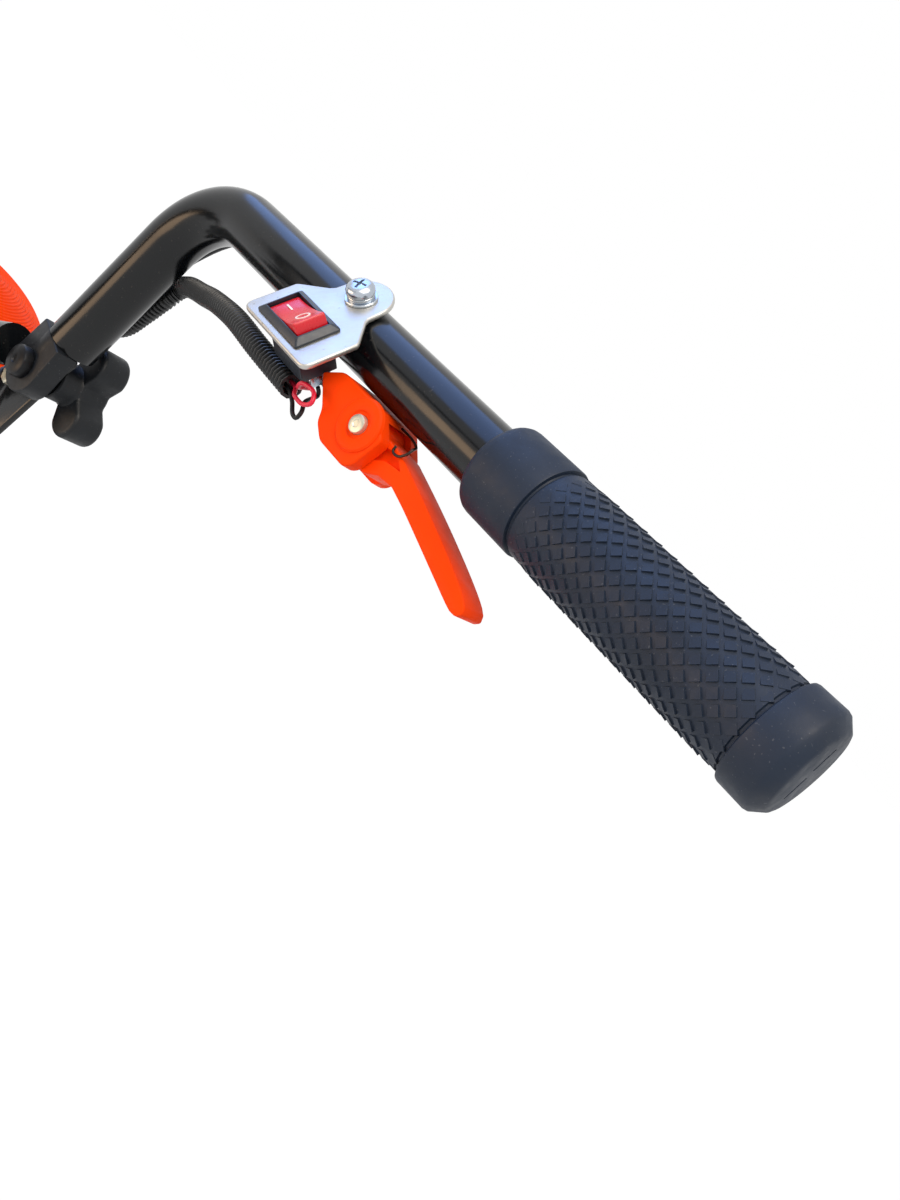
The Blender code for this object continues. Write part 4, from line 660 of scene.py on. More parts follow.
def gripPiece():
    collar, body, cap = grip["collarRadius"], grip["bodyRadius"], grip["capRadius"]
    start, end = grip["capStart"], grip["length"]
    chamfer = grip["capChamfer"]
    inner = end - grip["endWall"]
    profile = [(0, inner), (grip["bore"], inner), (grip["bore"], 0), (13.0, 0), (14.2, 0.4),
               (15.0, 1.2), (15.45, 2.2), (collar, 3.4), (collar, 22.4), (15.35, 22.9), (14.2, 23.0),
               (14.0, 23.5), (14.6, 24.0), (body, 24.6), (body, start - 1.2), (14.3, start - 0.9),
               (14.3, start - 0.2), (15.2, start), (cap - 0.2, start + 0.5), (cap, start + 1.2),
               (cap, end - chamfer - 0.8), (cap - 0.35, end - chamfer + 0.3),
               (cap - chamfer + 0.4, end - 0.4), (cap - chamfer - 0.6, end), (0, end)]
    piece = spinProfile("gripBody", profile, 96)
    length, width, depth = grip["slot"]
    for x, y in grip["slotPlaces"]:
        slot = boxAt("slot", (x - length / 2, y - width / 2, end - depth),
                     (x + length / 2, y + width / 2, end + 1))
        shapeWith(piece, "DIFFERENCE", slot)
    # the mould's parting line, low on both sides
    inside, rise, half = grip["seam"]
    seams = [boxAt("seam", (x, -half, 24.4), (x + rise, half, start - 1.3))
             for x in (inside, -inside - rise)]
    return joinWith(piece, gripPads(), *seams)


def gripPair():
    along = alongX(grip["start"])
    first = gripPiece()
    second = copyOf(first)
    first.name, second.name = "grip_rubber_right", "grip_rubber_left"
    for piece, name in ((first, "right"), (second, "left")):
        place = sides[name]["side"] @ along
        finishPiece(piece, place, skins["grip_rubber"], f"{name}_handle", f"grip_{name}")


for name in sides:
    handleTube(name)
gripPair()
print("tubes and grips done")

bracket = {
    "centre": 112.5,
    "tilt": 54.0,
    "low": 11.4,
    "thickness": 2.0,
    "rim": 0.75,
    "plate": (20.5, -32.0, -12.0),
    "corner": 3.6,
    "shoulder": [(-20.4, -12.4), (-19.6, -11.3), (-11.6, -4.2), (-10.7, -2.6)],
    "ear": (1.5, 10.5),
    "screwOffset": 1.0,
    "screwHole": 2.8,
    "switchCentre": (-1.5, -21.3),
    "window": (10.0, 7.0),
}
tilt = radians(bracket["tilt"])
bracketPlace = right["side"] @ frameOf((1, 0, 0), (0, -sin(tilt), cos(tilt)), (0, -cos(tilt), -sin(tilt)),
                                       (bracket["centre"], 0, 0))
screwPlace = bracketPlace @ Matrix.Translation((0, bracket["screwOffset"], 0))
switchPlace = bracketPlace @ Matrix.Translation((*bracket["switchCentre"], 0))
plateTop = bracket["low"] + bracket["thickness"]


def switchBracket():
    half, low, high = bracket["plate"]
    corners = easeCorners([(half, high), (half, low), (-half, low), (-half, high)], bracket["corner"], 5)
    shoulder = bracket["shoulder"]
    outline = corners[6:18] + shoulder + arcPoints(0, *bracket["ear"], 178, 2, 18)
    outline += [(-x, y) for x, y in reversed(shoulder)]
    plate = raiseOutline("bracketPlate", outline, bracket["low"], plateTop)
    roundEdges(plate, bracket["rim"], 3, 50)
    x, y = bracket["switchCentre"]
    half, width = bracket["window"]
    window = boxAt("window", (x - half, y - width, 5.0), (x + half, y + width, 20.0))
    hole = barAt("hole", bracket["screwHole"], 5.0, 20.0, 24, 0, bracket["screwOffset"])
    shapeWith(plate, "DIFFERENCE", window, hole)
    finishPiece(plate, bracketPlace, skins["zinc_plate"], "right_handle", "switch_bracket", smooth=40)


switch = {
    "bezel": (13.0, 8.25),
    "rim": (0.8, 2.4),
    "opening": (10.4, 5.8),
    "body": (9.7, 6.7),
    "bodyBottom": -2.6,
    "tabs": (-6.5, 6.5),
    "rockerHalf": 9.3,
    "rockerWidth": 5.5,
    "rockerTop": (2.75, 4.0),
    "rockerTilt": 13.5,
    "barMark": (2.18, -11.0),
    "ringMark": (4.6, 3.2, 10.0),
}


def switchHousing():
    length, width = switch["bezel"]
    wall, crest = switch["rim"]
    openX, openY = switch["opening"]
    bezel = raiseOutline("switchBezel", roundedBox(-length, -width, length, width, 0.9, 4), plateTop,
                         plateTop + wall)
    selectWhere(bezel, "polygons", lambda spot: spot.z > plateTop + wall - 0.01)
    bpy.ops.mesh.extrude_region_move(TRANSFORM_OT_translate={"value": (0, 0, crest - wall)})
    bpy.ops.transform.resize(value=((openX + 0.35) / length, (openY + 0.35) / width, 1))
    bpy.ops.object.mode_set(mode="OBJECT")
    roundEdges(bezel, 0.18, 2, 20)
    x, y = switch["body"]
    body = easedBox("body", (-x, -y, switch["bodyBottom"]), (x, y, plateTop + 0.2), 0.5)
    mouth = boxAt("mouth", (-openX, -openY, plateTop - 7.0), (openX, openY, plateTop + 9.0))
    shapeWith(bezel, "UNION", body)
    shapeWith(bezel, "DIFFERENCE", mouth)
    finishPiece(bezel, switchPlace, bezelNylon, "right_handle", "switch_body", smooth=28)


def switchTabs():
    # two flat push-on terminals under the switch
    bottom = switch["bodyBottom"]
    tabs = [easedBox("tab", (x - 0.4, -2.4, bottom - 6.0), (x + 0.4, 2.4, bottom + 0.3), 0.3)
            for x in switch["tabs"]]
    finishPiece(joinWith(*tabs), switchPlace, skins["bright_steel"], "right_handle").name = "switch_tabs"


def rockerPieces():
    # local X along the bezel, Y up, Z across; dished top, ends rounded about the pivot
    half, width = switch["rockerHalf"], switch["rockerWidth"]
    middle, end = switch["rockerTop"]
    top = [(half * i / 8, middle + (end - middle) * (i / 8) ** 2) for i in range(-8, 9)]
    reach = sqrt(half ** 2 + end ** 2)
    crest = degrees(asin(end / reach))
    front = arcPoints(0, 0, reach, crest - 6, -8, 5)
    back = [(-x, y) for x, y in reversed(front)]
    outline = top + front + [(4.5, -4.2), (-4.5, -4.2)] + back
    rocker = raiseOutline("switchRocker", outline, -width, width)
    roundEdges(rocker, 0.45, 3, 28)
    bar = easedBox("bar", (-7.0, 0, -0.36), (-3.4, 0.3, 0.36), 0.12)
    y, lean = switch["barMark"]
    moved(bar, Matrix.Translation((0, y, 0)) @ Matrix.Rotation(radians(lean), 4, "Z"))
    ring = spinProfile("ring", [(2.0, -0.2), (2.55, -0.2), (2.55, 0.1), (2.0, 0.1), (2.0, -0.2)], 40)
    x, y, lean = switch["ringMark"]
    moved(ring, Matrix.Translation((x, y, 0)) @ Matrix.Rotation(radians(lean), 4, "Z")
          @ Matrix.Rotation(radians(-90), 4, "X"))
    place = switchPlace @ frameOf((1, 0, 0), (0, 0, 1), (0, -1, 0), (0, 0, plateTop - 0.5))
    place = place @ Matrix.Rotation(radians(switch["rockerTilt"]), 4, "Z")
    finishPiece(rocker, place, skins["red_plastic"], "rocker", "switch_rocker", smooth=30)
    finishPiece(joinWith(bar, ring), place, whiteInlay, "rocker").name = "rocker_marks"


fixing = {"seat": 15.8, "slot": (5.2, 1.0, 1.6), "crossTurn": 25.0, "splitTurn": 200.0, "spring": 0.18}


def bracketWashers():
    washer = spinProfile("flatWasher", [(2.8, 13.4), (5.4, 13.4), (5.6, 13.6), (5.6, 14.2), (5.4, 14.4),
                                        (2.8, 14.4), (2.8, 13.4)], 64)
    finishPiece(washer, screwPlace, skins["bright_steel"], "right_handle", "bracket_flat_washer")
    # split washer: open by a few degrees, with one end sprung up
    lock = spinProfile("lockWasher", [(2.8, 14.42), (4.6, 14.42), (4.7, 14.52), (4.7, 15.5), (4.6, 15.6),
                                      (2.8, 15.6), (2.8, 14.42)], 60, 350)
    selectWhere(lock, "edges", lambda spot: False)
    bpy.ops.mesh.select_non_manifold(extend=False)
    bpy.ops.mesh.edge_face_add()
    bpy.ops.object.mode_set(mode="OBJECT")
    moved(lock, Matrix.Rotation(radians(fixing["splitTurn"]), 4, "Z"))
    shiftWhere(lock, lambda spot: spot.x < 0 and -1.6 < spot.y < 0.4, (0, 0, fixing["spring"]))
    finishPiece(lock, screwPlace, skins["bright_steel"], "right_handle", "bracket_lock_washer")


def bracketScrew():
    # pan head with a cross cut in it
    seat = fixing["seat"]
    head = spinProfile("screwHead", [(0, 5.0), (2.4, 5.0), (2.4, seat), (4.7, seat), (4.9, seat + 0.25),
                                     (4.9, seat + 1.5), (4.6, seat + 2.2), (4.0, seat + 2.8),
                                     (3.0, seat + 3.25), (1.6, seat + 3.45), (0, seat + 3.5)], 64)
    length, width, depth = fixing["slot"]
    for x, y in ((length, width), (width, length)):
        cross = boxAt("cross", (-x / 2, -y / 2, seat + 3.6 - depth), (x / 2, y / 2, seat + 6.0))
        moved(cross, Matrix.Rotation(radians(fixing["crossTurn"]), 4, "Z"))
        shapeWith(head, "DIFFERENCE", cross)
    roundEdges(head, 0.12, 2, 40)
    finishPiece(head, screwPlace, skins["bright_steel"], "right_handle", "bracket_screw")


throttle = {
    "outline": [(120.5, 17.0), (128.5, 11.8), (151.0, 11.8), (159.5, 18.5), (156.5, 30.5), (153.5, 33.0),
                (139.0, 33.0), (133.0, 29.5), (131.0, 25.5)],
    "half": 11.0,
    "pin": (148.6, 20.0),
    "pinHole": 3.4,
    "fork": ((134.5, 13.5, -6.3), (170.0, 45.0, 6.3)),
    "leverHalf": 6.0,
    "leverFacet": 3.6,
    "cableDrop": 20.5,
    "cableHole": 2.4,
    "adjusterHole": (5.4, 131.2),
    "adjusterStart": 130.9,
}
pinPlace = right["side"] @ Matrix.Translation((*throttle["pin"], 0))


def throttleHousing():
    half = throttle["half"]
    x, y = throttle["pin"]
    body = raiseOutline("throttleHousing", easeCorners(throttle["outline"], 1.6, 3), -half, half)
    roundEdges(body, 1.3, 4, 50)
    boss = spinProfile("boss", [(0, -9.0), (9.3, -10.6), (9.0, -11.6), (8.4, -12.1), (7.4, -12.2),
                                (5.6, -12.2), (4.9, -11.9), (4.4, -11.3), (0, -11.3)], 64)
    moved(boss, Matrix.Translation((x, y, 0)))
    slot = boxAt("slot", *throttle["fork"])
    bore = barAt("bore", throttle["pinHole"], -20, 20, 40, x, y)
    cableLine = alongX(0, throttle["cableDrop"])
    wide, end = throttle["adjusterHole"]
    cable = moved(barAt("cable", throttle["cableHole"], 100, 140, 24), cableLine)
    recess = moved(barAt("recess", wide, 100, end, 32), cableLine)
    shapeWith(body, "UNION", boss)
    shapeWith(body, "DIFFERENCE", slot, bore, cable, recess)
    finishPiece(body, right["side"], skins["orange_plastic"], "right_handle", "throttle_housing", smooth=26)


def throttleLever():
    x, y = throttle["pin"]
    half = throttle["leverHalf"]
    outline = arcPoints(x, y, 5.9, -250, -30, 22)
    blade = [(164.0, 17.4), (175.5, 20.2), (187.0, 23.2), (199.5, 26.8), (209.0, 29.8), (215.5, 32.2),
             (218.8, 34.2), (219.4, 36.0), (217.6, 37.9), (214.0, 37.8), (204.0, 35.2), (192.0, 32.0),
             (179.0, 28.6), (170.0, 26.6)]
    blade = [(point.x, point.y) for point in smoothPoints([(a, b, 0) for a, b in blade], 2.6)]
    outline += blade + [(163.0, 27.4), (157.5, 30.4), (150.5, 30.4), (145.5, 27.5)]
    lever = raiseOutline("throttleLever", outline, -half, half)
    # broad facet along the tube side, to the tip
    for side in (-1, 1):
        selectWhere(lever, "edges", lambda spot: side * spot.z > half - 0.1 and 168 < spot.x
                    and spot.y < 20.4 + (spot.x - 164) * 0.3)
        bpy.ops.mesh.bevel(offset=throttle["leverFacet"], segments=1, affect="EDGES", clamp_overlap=True)
        bpy.ops.object.mode_set(mode="OBJECT")
    tidyMesh(lever, merge=0.05)
    roundEdges(lever, 0.7, 3, 26)
    pocket = [(156.6, 25.6), (157.4, 19.4), (161.5, 18.6), (166.0, 19.4), (169.2, 21.4), (161.6, 22.6)]
    for side in (-1, 1):
        hollow = raiseOutline("hollow", easeCorners(pocket, 0.8, 3), side * half * 2, side * (half - 1.7))
        shapeWith(lever, "DIFFERENCE", hollow)
    shapeWith(lever, "DIFFERENCE", barAt("bore", throttle["pinHole"], -20, 20, 40, x, y))
    finishPiece(lever, right["side"], skins["orange_plastic"], "lever", "throttle_lever", smooth=26)


def leverPin():
    pin = spinProfile("leverPin", [(0, -12.75), (1.1, -12.75), (1.4, -13.0), (2.6, -13.0), (3.05, -12.8),
                                   (3.25, -12.3), (3.25, 11.4), (2.9, 12.0), (0, 12.0)], 48)
    finishPiece(pin, pinPlace, creamZinc, "right_handle", "lever_pivot_pin")


def returnSpring():
    points = [(161.6, 16.6, -6.75), (162.2, 18.6, -6.75), (165.0, 18.4, -6.75), (167.0, 16.2, -6.75),
              (167.2, 13.8, -6.05), (165.5, 12.9, -3.55), (160.0, 12.3, -1.55), (153.6, 12.4, -0.55)]
    spring = wireAlong("returnSpring", smoothPoints(points, 0.6), 0.45, 12)
    finishPiece(spring, right["side"], skins["spring_steel"], "right_handle", "lever_return_spring",
                smooth=60)


def cableAdjuster():
    thread = [(2.6 + 0.18 * (step % 2), -6.9 + 0.45 * step) for step in range(12)]
    barrel = spinProfile("cableAdjuster", [(2.3, -12.0), (3.2, -12.0), (3.4, -11.7), (3.4, -7.0)] + thread
                         + [(3.8, -1.5), (3.8, 0), (2.3, 0), (2.3, -12.0)], 32)
    nut = spinProfile("nut", [(2.4, -6.6), (4.6, -6.6), (5.0, -6.2), (5.0, -3.4), (4.6, -3.0), (2.4, -3.0),
                              (2.4, -6.6)], 6)
    place = right["side"] @ alongX(throttle["adjusterStart"], throttle["cableDrop"])
    finishPiece(joinWith(barrel, nut), place, skins["bright_steel"], "right_handle", "cable_adjuster")


switchBracket()
switchHousing()
switchTabs()
rockerPieces()
bracketWashers()
bracketScrew()
throttleHousing()
throttleLever()
leverPin()
returnSpring()
cableAdjuster()
print("switch and throttle done")


def onRun(along, drop, out):
    return right["side"] @ Vector((along, drop, out))


def onFront(height, fore, out):
    # beside the front run: height from the pivot, fore towards the engine
    lean = radians(handle["runSlope"] + handle["bend"])
    return right["joint"] @ Vector((-cos(lean) * height + sin(lean) * fore,
                                    sin(lean) * height + cos(lean) * fore, out))


def atPivot(out, ahead, up):
    return right["joint"] @ Vector((ahead, up, out))


def foldWith(piece):
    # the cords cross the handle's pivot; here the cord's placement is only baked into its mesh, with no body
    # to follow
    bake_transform(piece)


conduit = {"crest": 4.5, "trough": 3.55, "pitch": 2.1, "bore": 3.3}


def wireConduit():
    points = [onRun(113, 28.3, -10), onRun(98, 28.5, -8.5), onRun(82, 28.5, -7), onRun(60, 28.5, -3.5),
              onRun(40, 30.5, 1), onRun(23, 33.5, 6.5), onFront(72, -2.5, 16.6), onFront(60, 1.5, 16.8),
              onFront(48, 4.5, 17), onFront(34, 10, 17.6), onFront(18, 27, 17.6), onFront(4, 34, 17),
              atPivot(13, 36, -16), (48, -198, 555), (46.5, -188, 535), (45.5, -150, 450),
              (46, -114, 374), (46, -62, 346), (44, -18, 352), (44, -10, 372), (44, -10, 387.7)]
    route = smoothPoints(points, conduit["pitch"] / 4)
    crest, trough = conduit["crest"], conduit["trough"]
    radii = [(crest, crest, trough, trough)[step % 4] for step in range(len(route))]
    hose = wireAlong("wireConduit", route, radii, 16)
    mouth = wireAlong("mouth", [route[0].lerp(route[6], t) for t in (-0.05, 0.0, 1.0)], conduit["bore"], 16)
    shapeWith(hose, "DIFFERENCE", mouth)
    finishPiece(hose, inPlace, conduitPlastic, None, "wire_conduit", smooth=40)
    foldWith(hose)


wires = {
    "black": [(105, 29.3, -9.8), (113, 29.3, -10.6), (119, 31, -11.5), (124, 33.4, -12.6),
              (127.3, 33.4, -13.2), (127.3, 30.8, -13), (123, 28.3, -10.5), (119.2, 26.6, -5.5),
              (117.8, 25.3, -3), (117.5, 23.9, -3.4), (117.5, 22.6, -5.2)],
    "red": [(105, 27.6, -8.6), (113, 27.4, -9.3), (117, 27.7, -11.5), (122, 28.5, -14.8),
            (128.5, 28.2, -16.2), (131.5, 25.8, -16.2), (128.5, 22.8, -15.8), (122.5, 23.6, -16.0),
            (119.5, 26.0, -13.8), (117, 25.6, -9.5), (114.5, 25, -5), (110, 24.6, -2.4), (106, 24.8, -2),
            (104.6, 23.9, -3.2), (104.5, 22.6, -5.2)],
    "radius": 0.78,
}


def switchWires():
    for name, skin in (("black", skins["black_plastic"]), ("red", skins["wire_red_skin"])):
        lead = wireAlong(f"lead_{name}", smoothPoints(wires[name], 0.9), wires["radius"], 16)
        finishPiece(lead, right["side"], skin, "right_handle", f"wire_{name}", smooth=60)


def throttleCable():
    drop = throttle["cableDrop"]
    points = [onRun(131.8, drop, 0), onRun(118.5, drop, 0), onRun(106, 20, 4.5), onRun(94, 15.5, 12.5),
              onRun(82, 8, 16), onRun(60, 3.5, 15.5), onRun(36, 3.5, 15.5), onRun(6.6, 8.2, 16),
              onFront(82, 5, 15.2), onFront(62, 8, 15.2), onFront(46, 12, 17), onFront(34, 21, 19.5),
              onFront(22, 33, 24), onFront(4, 40, 23), atPivot(21, 39, -16), (57, -197, 555),
              (56, -186, 535), (54.5, -148, 450), (54, -114, 374), (53, -68, 342), (45, -42, 334),
              (34, -37, 336), (26, -37, 336), (19.3, -37, 336)]
    cable = wireAlong("throttleCable", smoothPoints(points, 5.0), 2.0, 16)
    finishPiece(cable, inPlace, skins["black_plastic"], None, "throttle_cable", smooth=60)
    foldWith(cable)


wireConduit()
switchWires()
throttleCable()
print("cable, conduit and wires done")

joint = {
    "plate": [(-10.3, 14.4), (-5.3, -7.6), (0.0, -35.1), (6.5, -66.0), (10.0, -70.0), (24.0, -70.0),
              (28.0, -66.0), (26.3, -24.5), (25.6, -12.0), (14.0, 10.5), (7.5, 15.5), (3.0, 17.4),
              (-7.6, 16.2)],
    "plateThickness": 3.0,
    "boltHole": 4.3,
    "plateBolt": (17.0, -16.5),
    "lug": (-10.3, -0.3),
    "eye": 13.0,
    "tubeStart": 18.7,
    "lobes": 3,
    "lobeTurn": 98.0,
    "lobeRadius": 9.5,
    "lobeReach": 15.0,
    "lobeSweep": 88.0,
    "valley": 10.6,
    "valleySweep": 16.0,
    "knob": (12.3, 27.3),
}


def jointPlate(name):
    outline = easeCorners(joint["plate"], 2.2, 3)
    plate = raiseOutline(f"jointPlate_{name}", outline, 0, joint["plateThickness"])
    roundEdges(plate, 0.5, 2, 50)
    hole = barAt("hole", joint["boltHole"], -5, 8, 32)
    small = barAt("small", 3.3, -5, 8, 24, *joint["plateBolt"])
    shapeWith(plate, "DIFFERENCE", hole, small)
    finishPiece(plate, sides[name]["joint"], skins["gloss_black"], "frame", f"joint_plate_{name}")


def handleLug(name):
    low, high = joint["lug"]
    start = joint["tubeStart"]
    outline = arcPoints(0, 0, joint["eye"], 180, 360, 28) + [(11.4, start), (-11.4, start)]
    lug = raiseOutline(f"handleLug_{name}", outline, low, high)
    roundEdges(lug, 0.8, 3, 50)
    collar = moved(barAt("collar", 11.1, start - 10.2, start, 48), alongY())
    roundEdges(collar, 0.5, 2, 50)
    plug = moved(barAt("plug", 9.2, 10, start + 14, 32), alongY())
    trim = boxAt("trim", (-20, -20, high), (20, start, 20))
    shapeWith(lug, "UNION", collar, plug)
    shapeWith(lug, "DIFFERENCE", trim, barAt("hole", joint["boltHole"], -20, 10, 32))
    lean = Matrix.Rotation(radians(90 - handle["runSlope"] - handle["bend"]), 4, "Z")
    place = sides[name]["joint"] @ lean
    finishPiece(lug, place, skins["black_plastic"], f"{name}_handle", f"handle_lug_{name}")


def starKnob(name):
    # round lobes with a short arc of the hub showing between them
    outline = []
    sweep, between = joint["lobeSweep"], joint["valleySweep"]
    for lobe in range(joint["lobes"]):
        middle = joint["lobeTurn"] + 360 * lobe / joint["lobes"]
        x = joint["lobeReach"] * cos(radians(middle))
        y = joint["lobeReach"] * sin(radians(middle))
        outline += arcPoints(x, y, joint["lobeRadius"], middle - sweep, middle + sweep, 16)
        turn = middle + 180 / joint["lobes"]
        outline += arcPoints(0, 0, joint["valley"], turn - between, turn + between, 2)
    low, high = joint["knob"]
    knob = raiseOutline(f"starKnob_{name}", easeCorners(outline, 0.6, 1), low, high)
    roundEdges(knob, 2.2, 4, 50)
    dish = spinProfile("dish", [(0, high - 1.4), (6.2, high - 1.2), (7.4, high + 0.3), (0, high + 0.3)], 40)
    hub = spinProfile("hub", [(0, 3.3), (8.9, 3.3), (9.5, 3.9), (9.5, 11.0), (10.4, low + 0.6),
                              (0, low + 2.0)], 48)
    bore = barAt("bore", joint["boltHole"], 0, low, 32)
    shapeWith(knob, "DIFFERENCE", dish)
    shapeWith(knob, "UNION", hub)
    shapeWith(knob, "DIFFERENCE", bore)
    finishPiece(knob, sides[name]["joint"], skins["black_plastic"], f"knob_{name}", f"star_knob_{name}",
                smooth=35)


def jointBolts(name):
    pivot = spinProfile(f"pivotBolt_{name}", [(0, -14.4), (1.6, -14.4), (2.0, -15.1), (5.8, -15.1),
                                              (6.8, -14.5), (7.2, -13.4), (7.2, -10.8), (7.0, -10.6),
                                              (4.0, -10.6), (4.0, 19.0), (0, 19.0)], 48)
    finishPiece(pivot, sides[name]["joint"], blackOxide, "frame", f"pivot_bolt_{name}")
    bolt = spinProfile(f"plateBolt_{name}", [(0, -3.4), (1.2, -3.6), (3.5, -3.6), (4.4, -3.1), (4.4, -0.9),
                                             (3.0, -0.9), (3.0, 7.0), (0, 7.0)], 6)
    washer = spinProfile("washer", [(0, -0.9), (4.4, -0.9), (4.4, -0.3), (0, -0.3)], 40)
    place = sides[name]["joint"] @ Matrix.Translation((*joint["plateBolt"], 0))
    finishPiece(joinWith(bolt, washer), place, creamZinc, "frame", f"plate_bolt_{name}")


leg = {
    "top": ((15.5, -1.5, -9.8), (47.0, -22.0, -9.8)),
    "foot": (30.0, -92.0, 284.0),
    "upright": 38.0,
    "radius": 9.5,
    "bendRadius": 40.0,
    "ferrule": ((0.2, 10.6), (1.4, 11.6), (7.0, 11.6), (8.0, 9.6)),
}


def legTube(name):
    x, y, z = leg["foot"]
    foot = Vector((x if name == "right" else -x, y, z))
    corners = [sides[name]["joint"] @ Vector(point) for point in leg["top"]]
    corners += [foot + Vector((0, 0, leg["upright"])), foot]
    tube = wireAlong(f"legTube_{name}", bentRoute(corners, leg["bendRadius"], 10), leg["radius"], 40)
    ferrule = wireAlong("ferrule", [foot + Vector((0, 0, height)) for height, radius in leg["ferrule"]],
                        [radius for height, radius in leg["ferrule"]], 40)
    joinWith(tube, ferrule)
    finishPiece(tube, inPlace, skins["gloss_black"], "frame", f"leg_tube_{name}", smooth=40)


for name in sides:
    jointPlate(name)
    handleLug(name)
    starKnob(name)
    jointBolts(name)
    legTube(name)
print("fold joints and legs done")


engineAxis = Matrix.Translation((0.0, 34.0, 0.0))


def softCopy(name, width, angle=40.0):
    # a node's own shape: flat faces made whole, then its edges rounded
    piece = bpy.data.objects.new(f"{name}_shell", nodes[name].data.copy())
    bpy.context.scene.collection.objects.link(piece)
    moved(piece, fromAxle.inverted())
    tidyMesh(piece, merge=0.001)
    bpy.ops.object.mode_set(mode="EDIT")
    bpy.ops.mesh.select_all(action="SELECT")
    bpy.ops.mesh.dissolve_limited(angle_limit=radians(0.4))
    bpy.ops.object.mode_set(mode="OBJECT")
    if width:
        roundEdges(piece, width, 2, angle)
    return piece


def softPiece(name, width, skin, body="frame", angle=40.0):
    finishPiece(softCopy(name, width, angle), inPlace, skins[skin], body, name, smooth=36)


screw = {"head": 4.2, "height": 4.0, "socket": 2.3}


def screwRow(name, places):
    # socket-head screws, standing on Z of each place
    radius, height = screw["head"], screw["height"]
    head = spinProfile("screwRow", [(0, -2.0), (radius, -2.0), (radius, height - 0.5),
                                    (radius - 0.5, height), (0, height)], 32)
    shapeWith(head, "DIFFERENCE", barAt("socket", screw["socket"], height * 0.4, height + 1, 6))
    row = repeated(head, places)
    finishPiece(row, inPlace, skins["bright_steel"], "frame").name = name


def turnedBy(turns, axis=inPlace):
    # one place for each of the turns about the axis's Z
    return [axis @ Matrix.Rotation(radians(turn), 4, "Z") for turn in turns]


dome = {
    "radius": 80.0,
    "height": 58.0,
    "base": 470.0,
    "wall": 2.5,
    "fullness": 2.4,
    "ripples": (20, 78),
    "rippleDepth": 0.6,
    "crown": 17.0,
}


def domePoint(turn, inset=0.0):
    # on the dome's section, 0 at the rim and 90 at the crown
    power = 2 / dome["fullness"]
    return ((dome["radius"] - inset) * cos(radians(turn)) ** power,
            dome["base"] + (dome["height"] - inset) * sin(radians(turn)) ** power)


starter = {
    "origin": (0.0, 4.0, 484.0),
    "rope": 1.8,
    "ropeSpan": (58.0, 90.0),
    "ropeHole": 2.6,
    "pull": (6.5, 19.0, 82.3, 95.3),
}
starterPlace = frameOf((0, 1, 0), (0, 0, -1), (-1, 0, 0), starter["origin"])


def recoilCover():
    # fine rings run round the shoulder, one ridge for every two degrees of the section
    inside = [domePoint(4.5 * i, dome["wall"]) for i in range(20, -1, -1)]
    first, last = dome["ripples"]
    outside = [domePoint(turn) for turn in range(2, first, 3)]
    outside += [domePoint(turn, dome["rippleDepth"] * (turn % 2)) for turn in range(first, last + 1)]
    outside += [domePoint(turn) for turn in (80, 83, 87, 90)]
    rim = [(dome["radius"], dome["base"]), (dome["radius"] + 1.2, dome["base"] + 0.2),
           (dome["radius"] + 1.2, dome["base"] + 2.6)]
    shell = spinProfile("recoilCover", inside + rim + outside, 96)
    ropeLine = engineAxis.inverted() @ starterPlace
    bore = starter["ropeHole"]
    shapeWith(shell, "DIFFERENCE", moved(barAt("ropeHole", bore, 50, 100, 32), ropeLine))
    top, edge = dome["base"] + dome["height"], dome["crown"]
    middle = spinProfile("crown", [(0, top - 2), (edge, top - 2), (edge, top + 0.5), (edge - 1, top + 1.2),
                                   (edge - 3, top + 1.4), (edge - 4, top + 0.7), (0, top + 0.7)], 96)
    eyelet = spinProfile("eyelet", [(bore, 66), (8.0, 66), (8.0, 74.4), (7.2, 75.6), (4.0, 75.9),
                                    (bore, 75.2), (bore, 66)], 48)
    joinWith(shell, middle, moved(eyelet, ropeLine))
    finishPiece(shell, engineAxis, skins["orange_plastic"], "frame", "recoil_cover")


fanCase = {
    "lugTurns": (40, 130, 220, 310),
    "lugReach": 87.0,
    "lugHalf": 6.0,
    "lugTop": 478.0,
    "screwCircle": 82.5,
}


def fanHousing():
    profile = [(16, 388), (67, 388), (69, 388.7), (79, 397), (80, 399), (80, 430), (81, 431), (81, 437),
               (80, 438), (80, 466.5), (81.2, 467.3), (81.2, 469.8), (77.5, 469.8), (77.5, 399),
               (67, 390.5), (16, 390.5), (16, 388)]
    shell = spinProfile("fanHousing", profile, 96)
    reach, half, top = fanCase["lugReach"], fanCase["lugHalf"], fanCase["lugTop"]
    lug = easedBox("lug", (78, -half, 452), (reach, half, 469.6), 1.2)
    upper = easedBox("upper", (77, -half, 470), (reach, half, top), 1.2)
    turns = turnedBy(fanCase["lugTurns"])
    joinWith(shell, repeated(lug, turns))
    finishPiece(shell, engineAxis, skins["orange_plastic"], "frame", "fan_housing")
    finishPiece(repeated(upper, turns), engineAxis, skins["orange_plastic"], "frame").name = "coverLugs"
    onLug = Matrix.Translation((fanCase["screwCircle"], 0, top))
    screwRow("coverScrews", [engineAxis @ turn @ onLug for turn in turns])


